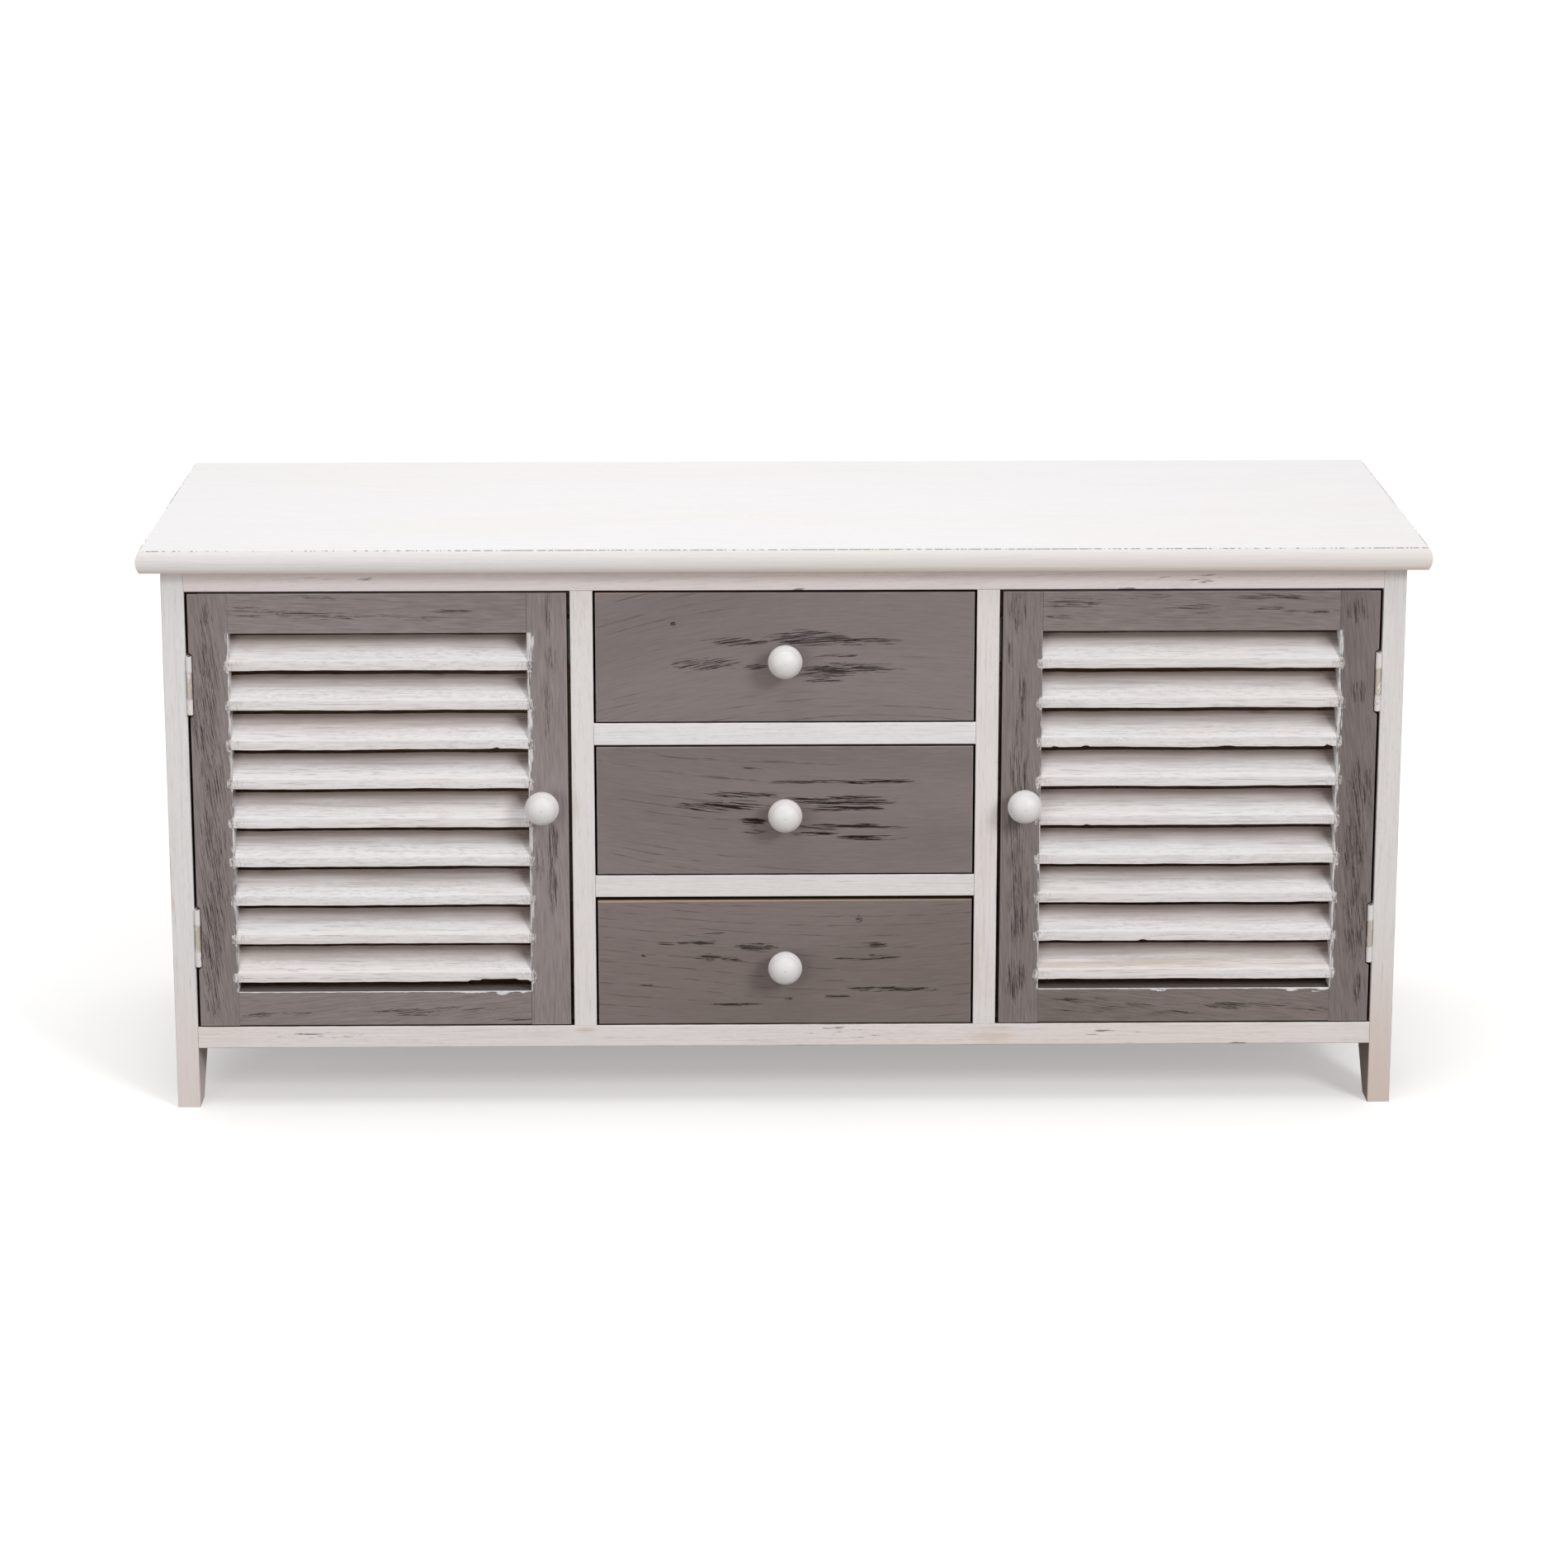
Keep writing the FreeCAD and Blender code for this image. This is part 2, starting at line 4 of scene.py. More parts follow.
import bmesh
import bpy
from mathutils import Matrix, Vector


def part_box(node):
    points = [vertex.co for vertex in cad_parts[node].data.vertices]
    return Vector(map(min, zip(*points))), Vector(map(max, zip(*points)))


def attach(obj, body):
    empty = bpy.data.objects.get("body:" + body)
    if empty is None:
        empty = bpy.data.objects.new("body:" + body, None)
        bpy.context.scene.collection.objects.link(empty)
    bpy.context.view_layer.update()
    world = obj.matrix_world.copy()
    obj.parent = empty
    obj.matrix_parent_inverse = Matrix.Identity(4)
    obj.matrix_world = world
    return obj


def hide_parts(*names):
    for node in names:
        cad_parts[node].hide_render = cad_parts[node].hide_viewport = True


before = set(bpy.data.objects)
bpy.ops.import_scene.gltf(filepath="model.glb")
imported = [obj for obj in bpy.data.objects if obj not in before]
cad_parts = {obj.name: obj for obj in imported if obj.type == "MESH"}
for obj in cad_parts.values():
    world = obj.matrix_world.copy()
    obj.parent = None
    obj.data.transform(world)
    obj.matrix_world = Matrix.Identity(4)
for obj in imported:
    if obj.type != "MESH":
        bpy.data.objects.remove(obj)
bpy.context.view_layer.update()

# Places on the cabinet, from its frame, in metres
front_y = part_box("left_door_hinge_stile")[0].y
louvre_bottom_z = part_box("left_door_bottom_rail")[1].z
louvre_top_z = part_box("left_door_top_rail")[0].z
foot_top_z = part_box("bottom_panel")[0].z
louvre_sides = {
    "left": (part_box("left_door_hinge_stile")[1].x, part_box("left_door_lock_stile")[0].x),
    "right": (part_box("right_door_lock_stile")[1].x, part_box("right_door_hinge_stile")[0].x),
}

# Top board
top_nose = 0.0023  # how far its rounded edges stand out past their corners
nose_shade_height = 0.0040  # painted warm shade along the bottom of its rounded edges, where they face down

# Hinges and knobs
hinge_length = 0.042
middle_knuckle_half = 0.0098
hinge_notch_depth = 0.0080  # of a hinge stile's outer edge, with its notches
knob_rim_radius = 0.0098
knob_tip_radius = 0.0011
knob_neck_length = 0.0075

# Paint round the edges of the boards
front_paint_reach = 0.0008  # how far the paint on a front runs round its edges
drawer_paint_reach = 0.0006
side_paint_reach = 0.0080  # onto a side panel's inner face
gap_shade_depth = 0.0140  # behind the front, where the painted gap shade on an unpainted face starts to fade
bare_depth = 0.0152  # and where bare wood is left
foot_shade_start_z = 0.008  # up to here the painted shade on a foot's inner face is at its lightest
foot_tint_height = 0.15
mark_depth = 0.0040  # how deep a mark on the front can reach round an edge
face_blend = 0.0001  # too thin to see, between a face and the faces beside it

# Louvre slats
slat_count = 9
slat_edge = 0.0065  # height of the upright front edge
slat_rise = 0.0165  # from the front edge to the back edge
slat_depth = 0.014
slat_housing = 0.004  # how far an end is let into its stile
slat_proud = 0.0003  # how far the paint stands in front of the stiles
slat_ease = 0.0005
slat_still_end = 0.012  # stretch at each end over which the waves of an edge grow
slat_cuts_along = 107
slat_cuts_across = 4
lowest_slat_gap = 0.007
highest_slat_gap = 0.004
stained_slat_z = louvre_bottom_z + lowest_slat_gap + slat_edge + 0.0035
slat_pitch = (louvre_top_z - highest_slat_gap - slat_edge - slat_rise
              - louvre_bottom_z - lowest_slat_gap) / (slat_count - 1)

# Colours, as linear light
chalk = (0.800, 0.791, 0.795)
cream = (0.800, 0.750, 0.712)
amber = (0.560, 0.360, 0.200)
foot_cream = (0.800, 0.672, 0.628)
foot_amber = (0.680, 0.570, 0.515)
foot_shade = (0.200, 0.148, 0.124)
slat_white = (0.838, 0.819, 0.821)
slat_cream = (0.825, 0.766, 0.744)
slat_shade = (0.292, 0.208, 0.178)
slat_corner_shadow = (0.150, 0.092, 0.066)
pale_grain = (0.470, 0.440, 0.425)
scuff = (0.110, 0.092, 0.084)
taupe = (0.255, 0.218, 0.214)
taupe_light = (0.355, 0.315, 0.306)
taupe_shade = (0.216, 0.183, 0.177)
taupe_grain = (0.105, 0.086, 0.081)
soot = (0.016, 0.009, 0.007)
painted_gap_shade = (0.085, 0.054, 0.039)
peach = (0.500, 0.345, 0.270)
raw_wood = (0.560, 0.380, 0.250)
raw_wood_dark = (0.360, 0.210, 0.120)
ply_wood = (0.600, 0.450, 0.305)
ply_wood_dark = (0.450, 0.305, 0.185)
knob_white = (0.780, 0.766, 0.764)
hinge_white = (0.780, 0.755, 0.740)
hinge_metal = (0.330, 0.270, 0.200)
zinc_bright = (0.620, 0.620, 0.620)
zinc_dull = (0.470, 0.460, 0.440)
plastic_white = (0.780, 0.770, 0.730)
plastic_cream = (0.720, 0.705, 0.660)
floor_seen = (0.800, 0.800, 0.800)  # by the camera, near the cabinet
floor_bounce = (0.360, 0.330, 0.310)  # for the light that it throws back
soft_light = (1.000, 0.990, 0.982)
full_white = (1.0, 1.0, 1.0)
black = (0.0, 0.0, 0.0)


class Wire:
    """A shader socket. An operator on it adds a Math node."""

    def __init__(self, finish, socket):
        self.finish = finish
        self.socket = socket

    def maths(self, operation, *values):
        return self.finish.node("ShaderNodeMath", {"operation": operation}, dict(enumerate(values)))

    def __add__(self, other):
        return self.maths("ADD", self, other)

    def __radd__(self, other):
        return self.maths("ADD", other, self)

    def __sub__(self, other):
        return self.maths("SUBTRACT", self, other)

    def __rsub__(self, other):
        return self.maths("SUBTRACT", other, self)

    def __mul__(self, other):
        return self.maths("MULTIPLY", self, other)

    def __rmul__(self, other):
        return self.maths("MULTIPLY", other, self)

    def __abs__(self):
        return self.maths("ABSOLUTE", self)

    def least(self, other):
        return self.maths("MINIMUM", self, other)

    def most(self, other):
        return self.maths("MAXIMUM", self, other)


class Finish:
    """A paint, a wood or a metal, mixed from shader nodes on the piece's own coordinates."""

    sheen = 0.5

    def __init__(self, name):
        self.material = bpy.data.materials.new(name)
        self.material.use_nodes = True
        self.tree = self.material.node_tree
        self.shader = self.tree.nodes["Principled BSDF"]
        self.place = self.node("ShaderNodeTexCoord", output="Object")
        self.x, self.y, self.z = self.axes(self.place)

    def node(self, kind, settings=None, sockets=None, output=0):
        made = self.tree.nodes.new(kind)
        for name, value in (settings or {}).items():
            setattr(made, name, value)
        for key, value in (sockets or {}).items():
            socket = made.inputs[key]
            if isinstance(value, Wire):
                self.tree.links.new(value.socket, socket)
            elif socket.type == "RGBA":
                socket.default_value = (*value, 1.0)
            else:
                socket.default_value = value
        return Wire(self, made.outputs[output])

    def axes(self, vector):
        parts = self.node("ShaderNodeSeparateXYZ", sockets={0: vector})
        return [Wire(self, part) for part in parts.socket.node.outputs]

    def vector(self, x, y, z):
        return self.node("ShaderNodeCombineXYZ", sockets={0: x, 1: y, 2: z})

    def noise(self, cycles, detail=2.0, roughness=0.5, place=None):
        """Noise with its own cycles per metre along each axis."""
        spread = self.node("ShaderNodeVectorMath", {"operation": "MULTIPLY"},
                           {0: place or self.place, 1: cycles})
        return self.node("ShaderNodeTexNoise", None,
                         {"Vector": spread, "Scale": 1.0, "Detail": detail, "Roughness": roughness})

    def rise(self, value, start, end):
        """0 before start and 1 after end, or the other way round where start is the larger."""
        return self.node("ShaderNodeMapRange", {"interpolation_type": "SMOOTHSTEP"},
                         {"Value": value, "From Min": start, "From Max": end})

    def over(self, share, under, upper):
        """A colour laid over another."""
        return self.node("ShaderNodeMix", {"data_type": "RGBA"}, {0: share, 6: under, 7: upper}, 2)

    def lay(self, colour, roughness, height=None, depth=0.0):
        """Gives the shader its colour, roughness and relief."""
        self.set("Base Color", colour)
        self.set("Roughness", roughness)
        self.set("Specular IOR Level", self.sheen)
        if height is not None:
            self.set("Normal", self.node("ShaderNodeBump", None, {"Distance": depth, "Height": height}))
        return self

    def set(self, name, value):
        socket = self.shader.inputs[name]
        if isinstance(value, Wire):
            self.tree.links.new(value.socket, socket)
        elif socket.type == "RGBA":
            socket.default_value = (*value, 1.0)
        else:
            socket.default_value = value


class BoardFinish(Finish):
    """A matt finish on one board, with the grain along an axis. Slope and bow sweep the grain lines."""

    sheen = 0.06

    def __init__(self, node, grain, slope=0.0, bow=0.0):
        super().__init__(node + "_finish")
        self.low, self.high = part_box(node)
        self.grain = grain
        middle = (self.low + self.high) / 2
        along = {"X": self.x - middle.x, "Y": self.y - middle.y, "Z": self.z - middle.z}[grain]
        if slope or bow:
            sweep = along * (along * bow + slope)
            self.swept = {"X": self.vector(self.x, self.y, self.z - sweep),
                          "Y": self.vector(self.x - sweep, self.y, self.z),
                          "Z": self.vector(self.x - sweep, self.y, self.z)}[grain]
        else:
            self.swept = self.place
        x, y, z = self.axes(self.swept)
        self.across = {"X": y + z, "Y": x + z, "Z": x + y}[grain]

    def cycles(self, along, across):
        return tuple(along if axis == self.grain else across for axis in "XYZ")

    def fibre(self, along, across, detail=2.0, roughness=0.5):
        """Noise drawn out along the grain."""
        return self.noise(self.cycles(along, across), detail, roughness, place=self.swept)

    def ring_lines(self, spacing, bend):
        """Thin growth lines that wander and fade along the grain."""
        wander = self.noise(self.cycles(2.2, 9.0), 2.0, place=self.swept)
        ring = self.across * (1 / spacing) + wander * bend
        saw = ring.maths("FRACT", ring)
        return self.rise(saw, 0.80, 0.92) * self.rise(saw, 1.0, 0.95)

    def arris(self):
        """Distance from the nearest edge of the board's box."""
        sides = []
        for value, low, high in zip((self.x, self.y, self.z), self.low, self.high):
            sides.append((value - low).least(high - value))
        a, b, c = sides
        return a.least(b).most(a.most(b).least(c))

    def bare(self):
        """The colour of the wood under the paint."""
        streaks = self.fibre(4, 130, 3.0, 0.6)
        rings = self.ring_lines(0.005, 5.0)
        return self.over(self.rise(streaks, 0.35, 0.72) * 0.55 + rings * 0.35, raw_wood, raw_wood_dark)


def tinted(colour, tint):
    """A colour made lighter, darker, warmer or cooler."""
    return tuple(part * share for part, share in zip(colour, tint))


def unpainted_with_gap_shade(paint, colour, reach, share=1.0):
    """Shows the wood that the brush didn't reach from the front, with painted shade for the gaps near the
    front and bare wood behind.
    """
    ragged = paint.noise((70.0, 70.0, 70.0), 3.0)
    depth = paint.y - front_y
    behind = paint.rise(depth - ragged * reach, 0.0, reach * 0.4)
    # Painted shade: the dark band just behind the front darkens the gaps between the parts.
    wood = paint.over(paint.rise(depth, bare_depth, gap_shade_depth), paint.bare(), painted_gap_shade)
    return paint.over(behind * share, colour, wood)


def front_painted(paint, colour):
    """Leaves the paint on a board's front alone."""
    return unpainted_with_gap_shade(paint, colour, front_paint_reach)


def inside_bare(inner_x, lowest_share, highest_share):
    """A side panel's inner face: no paint above the foot, and below it painted shade over the paint,
    darkest up under the bottom board.
    """
    side = -1 if inner_x < 0 else 1

    def behind(paint, colour):
        inner = paint.rise(paint.x * side, side * inner_x + 2 * face_blend, side * inner_x + face_blend)
        above_foot = paint.rise(paint.z, foot_top_z - 0.0005, foot_top_z + 0.0005)
        thin_paint_and_shade = paint.rise(paint.z, foot_shade_start_z, foot_top_z) * (highest_share - lowest_share) + lowest_share
        # Painted shade on the foot's inner face, darkest up under the bottom board.
        colour = paint.over(inner * (1 - above_foot) * thin_paint_and_shade, colour, foot_shade)
        return unpainted_with_gap_shade(paint, colour, side_paint_reach, inner * above_foot)
    return behind


def nearness(paint, marks):
    """1 times a mark's strength at its middle on the front, down to 0 round it and behind."""
    at_front = paint.rise(paint.y - front_y, mark_depth, mark_depth / 2)
    most = None
    for x, z, long, high, strength in marks:
        spot = paint.node("ShaderNodeVectorMath", {"operation": "MULTIPLY"},
                          {0: paint.vector(paint.x - x, 0.0, paint.z - z), 1: (1 / long, 0.0, 1 / high)})
        far = paint.node("ShaderNodeVectorMath", {"operation": "LENGTH"}, {0: spot}, "Value")
        near = paint.rise(far, 1.45, 0.55) * strength
        most = near if most is None else most.most(near)
    return most * at_front


def white_board(node, grain, behind=None, slope=0.0, creams=0.35, show=1.0, wear=None,
                tint=(1.0, 1.0, 1.0), foot=None, scuffs=(), stains=()):
    """White paint brushed thinly on a board, so that its grain shows."""
    paint = BoardFinish(node, grain, slope)
    clouds = paint.fibre(3.0, 13.0, 3.0)
    brush = paint.fibre(13.0, 300.0, 3.0, 0.6)
    hair = paint.fibre(26.0, 950.0, 2.0, 0.6)
    pores = paint.fibre(60.0, 720.0, 2.0, 0.6)
    specks = paint.fibre(150.0, 800.0, 3.0, 0.65)
    gathers = paint.fibre(8.0, 60.0, 2.0)
    rings = paint.ring_lines(0.0065, 6.0)
    open_grain = paint.rise(pores, 0.56, 0.68) * paint.rise(gathers, 0.46, 0.66)
    ringed = rings * paint.rise(pores, 0.46, 0.60) * paint.rise(gathers, 0.40, 0.62)
    colour = paint.over(paint.rise(clouds, 0.42, 0.74) * creams, tinted(chalk, tint), tinted(cream, tint))
    colour = paint.over(paint.rise(hair, 0.50, 0.72) * (0.18 * show), colour, pale_grain)
    colour = paint.over(paint.rise(brush, 0.50, 0.76) * (0.16 * show), colour, pale_grain)
    colour = paint.over(paint.rise(specks, 0.50, 0.66) * paint.rise(gathers, 0.64, 0.40) * (0.20 * show),
                        colour, pale_grain)
    colour = paint.over((open_grain + ringed) * (0.24 * show), colour, pale_grain)
    # Painted warm shade: the feet drawn warmer and darker towards the floor.
    if foot:
        foot_colour, foot_share = foot
        colour = paint.over(paint.rise(paint.z, foot_tint_height, 0.0) * foot_share, colour, foot_colour)
    if stains:
        streaky = paint.rise(brush, 0.36, 0.62) * 0.7 + 0.15
        colour = paint.over(nearness(paint, stains) * streaky * 0.6, colour, amber)
    edge = paint.arris() + (paint.fibre(30.0, 60.0, 3.0) - 0.5) * 0.0030
    colour = paint.over(paint.rise(edge, 0.0003, -0.0005) * 0.45, colour, scuff)
    if scuffs:
        near = nearness(paint, scuffs)
        rubbed = paint.rise(pores + near * 0.22, 0.67, 0.75) * paint.rise(near, 0.0, 0.2)
        colour = paint.over(rubbed * 0.75, colour, scuff)
    if wear:
        colour = wear(paint, colour)
    if behind:
        colour = behind(paint, colour)
    height = brush * 0.5 + hair * 0.3 - (open_grain + ringed) * (0.10 * show)
    return paint.lay(colour, 0.50 + brush * 0.28, height, 0.0005)


def rubbed_and_shaded_nose(paint, colour):
    """Broken grey line along the top board's front and end edges, where the paint has rubbed off, and
    painted warm shade along the bottom of its rounded edges.
    """
    from_front = abs(paint.y - paint.low.y - top_nose)
    from_end = abs((paint.x - paint.low.x).least(paint.high.x - paint.x) - top_nose)
    from_line = from_front.least(from_end) + (paint.high.z - paint.z) * 0.9
    dashes = paint.noise((240.0, 150.0, 10.0), 3.0, 0.70)
    patches = paint.noise((9.0, 9.0, 3.0), 1.0)
    worn = paint.rise(dashes + patches * 0.5, 0.71, 0.78) * paint.rise(from_line, 0.0010, 0.0004)
    on_nose = paint.rise(paint.y, front_y - 0.004, front_y - 0.012)
    colour = paint.over(on_nose * paint.rise(paint.x, -0.35, 0.15) * 0.6, colour, cream)
    # Painted warm shade: the bottom of the rounded edges drawn darker and warmer.
    at_bottom = paint.rise(paint.z - paint.low.z, nose_shade_height, 0.0)
    colour = paint.over(at_bottom * 0.40, colour, amber)
    return paint.over(worn * 0.70, colour, scuff)


def white_slats(side):
    """The slats' paint: brushed on from the front and worn to a hatch at the ends in the stiles, with
    painted shade under each slat above and painted shadow at the right-hand ends.
    """
    paint = BoardFinish(side + "_door_slats", "X")
    left, right = louvre_sides[side]
    clouds = paint.fibre(4.0, 30.0, 3.0)
    brush = paint.fibre(13.0, 330.0, 3.0, 0.65)
    hair = paint.fibre(26.0, 950.0, 2.0, 0.6)
    pores = paint.fibre(55.0, 720.0, 2.0, 0.6)
    specks = paint.fibre(150.0, 800.0, 3.0, 0.65)
    gathers = paint.fibre(7.0, 75.0, 2.0)
    rings = paint.ring_lines(0.0045, 7.0)
    hatch = paint.noise((1400.0, 40.0, 320.0), 2.0, 0.6)
    from_end = (paint.x - left).least(right - paint.x)
    dry = paint.rise(from_end, 0.014, 0.001)
    in_stile = paint.rise(from_end, 0.0004, -0.0004)
    worn_tip = paint.rise(from_end, -0.0008, -slat_housing)
    front = paint.rise(paint.y - front_y, 0.0005, 0.0001)
    open_grain = paint.rise(pores, 0.56, 0.68) * paint.rise(gathers, 0.44, 0.66)
    ringed = rings * paint.rise(pores, 0.46, 0.60) * paint.rise(gathers, 0.34, 0.58)
    depth = paint.y - front_y
    # Painted shade: each slat's face darkened up towards the slat above, partly thin paint at the back.
    thin_paint_and_shade = paint.rise(depth + (brush - 0.5) * 0.006, 0.0040, 0.0130)
    # Painted shadow: the right-hand stile's shadow on the slats' right ends, drawn dark in the colour.
    from_right = right - paint.x + (brush - 0.5) * 0.006
    corner = paint.rise(from_right, 0.0200, 0.0020) * paint.rise(depth, 0.0025, 0.0100)
    arris = paint.rise(abs(depth - 0.0006), 0.0006, 0.0002)
    plain = paint.rise(gathers, 0.62, 0.40)
    white = tinted(slat_white, slat_tints[side])
    creamy = tinted(slat_cream, slat_tints[side])
    colour = paint.over(paint.rise(clouds, 0.40, 0.68) * 0.55, white, creamy)
    if side == "right":
        stain_and_shade = paint.rise(abs(paint.z - stained_slat_z), 0.0045, 0.0010)
        colour = paint.over(stain_and_shade * paint.rise(brush, 0.34, 0.62) * 0.45, colour, amber)
    colour = paint.over(thin_paint_and_shade * 0.80, colour, slat_shade)
    colour = paint.over(corner * 0.72, colour, slat_corner_shadow)
    colour = paint.over(paint.rise(hair + dry * 0.05, 0.50, 0.70) * 0.30, colour, pale_grain)
    colour = paint.over(paint.rise(brush, 0.48, 0.74) * 0.20, colour, pale_grain)
    colour = paint.over(paint.rise(specks, 0.48, 0.64) * plain * 0.36, colour, pale_grain)
    colour = paint.over((open_grain + ringed) * 0.50, colour, pale_grain)
    colour = paint.over(dry * front * paint.rise(hatch, 0.50, 0.60) * 0.55, colour, pale_grain)
    # Painted shade and highlight: the upright front strip drawn a little darker, and a white line just
    # behind its arrises.
    colour = paint.over(front * 0.12, colour, pale_grain)
    colour = paint.over(arris * 0.60, colour, white)
    colour = paint.over(in_stile * paint.rise(hatch - worn_tip * 0.05, 0.52, 0.44) * 0.92, colour, taupe)
    height = brush * 0.5 + hair * 0.3 - (open_grain + ringed) * 0.15
    return paint.lay(colour, 0.52 + brush * 0.25, height, 0.0005)


def grey_board(node, grain, slope=0.0, bow=0.0, marks=(), tint=(1.0, 1.0, 1.0), brushed=0.55, lines=0.25,
               stroke=(52.0, 2600.0, 0.78), louvre=None, edges=None):
    """Grey paint over dark stained wood. The stain shows where the paint is rubbed or cracked.

    Stroke holds the cycles per metre of a mark's lines along and across the grain, and their strength.
    """
    paint = BoardFinish(node, grain, slope, bow)
    stroke_along, stroke_across, stroke_share = stroke
    clouds = paint.fibre(3.0, 16.0, 3.0)
    brush = paint.fibre(14.0, 330.0, 3.0, 0.62)
    hair = paint.fibre(60.0, 850.0, 3.0, 0.6)
    pores = paint.fibre(50.0, 720.0, 2.0, 0.6)
    gathers = paint.fibre(6.0, 45.0, 2.0)
    strokes = paint.fibre(stroke_along, stroke_across, 2.0, 0.55)
    rags = paint.fibre(stroke_along * 4.0, stroke_across * 1.7, 1.0)
    rings = paint.ring_lines(0.0075, 7.0) * paint.rise(pores, 0.46, 0.56) * paint.rise(gathers, 0.46, 0.60)
    open_grain = paint.rise(pores, 0.58, 0.70) * paint.rise(gathers, 0.44, 0.64)
    light = tinted(taupe_light, tint)
    dark = tinted(taupe_grain, tint)
    colour = paint.over(paint.rise(clouds, 0.35, 0.70), tinted(taupe, tint), tinted(taupe_shade, tint))
    colour = paint.over(paint.rise(brush, 0.55, 0.75) * (0.35 * brushed), colour, light)
    colour = paint.over(paint.rise(hair, 0.48, 0.38) * (0.45 * brushed), colour, light)
    colour = paint.over(paint.rise(hair, 0.53, 0.64) * (0.45 * brushed), colour, dark)
    colour = paint.over(rings * lines + open_grain * (0.35 * brushed), colour, dark)
    # Painted highlight: the grey boards' arrises drawn paler, as light catches them.
    edge = paint.arris() + (paint.fibre(40.0, 90.0, 3.0) - 0.5) * 0.0016
    colour = paint.over(paint.rise(edge, 0.0008, 0.0002) * 0.30, colour, pale_grain)
    height = (brush * 0.4 + hair * 0.3) * brushed - rings * 0.2 - open_grain * 0.1
    if marks:
        near = nearness(paint, marks)
        rubbed = paint.rise(strokes + rags * 0.3 + near * 0.22, 0.82, 0.89) * paint.rise(near, 0.0, 0.2)
        colour = paint.over(rubbed * stroke_share, colour, soot)
        height = height - rubbed * 0.4
    if louvre:
        daub = louvre(paint)
        white = paint.over(paint.rise(strokes, 0.48, 0.64) * 0.55, chalk, pale_grain)
        colour = paint.over(daub, colour, white)
        height = height + daub * 0.8
    if edges:
        colour = edges(paint, colour)
    return paint.lay(colour, 0.50 + brush * 0.25, height, 0.0006)


def drawer_edges(raw_lip, raw_slope):
    """A drawer front's edges: painted gap shade behind the front, and rubbed to raw wood along a lip at the
    top.
    """
    def edges(paint, colour):
        colour = unpainted_with_gap_shade(paint, colour, drawer_paint_reach)
        lip = raw_lip - paint.x * raw_slope
        at_top = paint.rise(paint.high.z - paint.z - lip, 0.0004, -0.0001)
        at_front = paint.rise(paint.y - front_y, 0.0020, 0.0012)
        return paint.over(at_top * at_front * 0.70, colour, peach)
    return edges


def hinge_edge_shaded(edge_x, side):
    """A hinge stile's outer edge and its hinge notches, with painted shade behind the painted front."""
    def edges(paint, colour):
        at_edge = paint.rise((edge_x - paint.x) * side, hinge_notch_depth, hinge_notch_depth - 0.0010)
        behind = paint.rise(paint.y - front_y, 0.0003, 0.0009)
        return paint.over(at_edge * behind, colour, painted_gap_shade)
    return edges


def upright_daubs(edge_x, side, widths):
    """White paint from the slats, brushed over a stile's inner edge, most of all at the slat ends."""
    half_height = (louvre_top_z - louvre_bottom_z) / 2
    middle_z = (louvre_top_z + louvre_bottom_z) / 2
    low_width, high_width = widths

    def share(paint):
        reach = (paint.x - edge_x) * side
        row = (paint.z - louvre_bottom_z - lowest_slat_gap - slat_edge / 2) * (1 / slat_pitch)
        from_slat = abs(row - row.maths("ROUND", row)) * slat_pitch
        at_slat = paint.rise(from_slat, 0.0056, 0.0030)
        inside = paint.rise(abs(paint.z - middle_z), half_height + 0.001, half_height - 0.001)
        slow = paint.noise((15.0, 15.0, 36.0), 2.0)
        streaks = paint.noise((950.0, 30.0, 75.0), 3.0, 0.6)
        dry = paint.noise((1500.0, 30.0, 150.0), 2.0, 0.6)
        width = paint.rise(paint.z, louvre_bottom_z, louvre_top_z) * (high_width - low_width) + low_width
        brushed = (paint.rise(slow, 0.34, 0.66) * 0.6 + 0.4) * width + at_slat * 0.0016 + 0.0003
        cover = (brushed - reach) * 700.0 + (streaks - 0.5) * 7.0
        return paint.rise(cover, 0.0, 1.0) * inside * (paint.rise(dry, 0.38, 0.52) * 0.35 + 0.65)
    return share


def level_daubs(edge_z, smears):
    """White paint from the slats along a door's bottom rail, smeared down its front in places."""
    def share(paint):
        reach = edge_z - paint.z
        ragged = paint.noise((70.0, 30.0, 420.0), 3.0, 0.65)
        spread = 0.0003 + paint.rise(ragged, 0.45, 0.70) * 0.0004
        for x, half in smears:
            smear = paint.rise(abs(paint.x - x), half, half * 0.4) * paint.rise(ragged, 0.40, 0.62)
            spread = spread + smear * 0.0024
        at_front = paint.rise(paint.y - front_y, 0.0014, 0.0006)
        return paint.rise(reach - spread, 0.0005, 0.0) * at_front
    return share


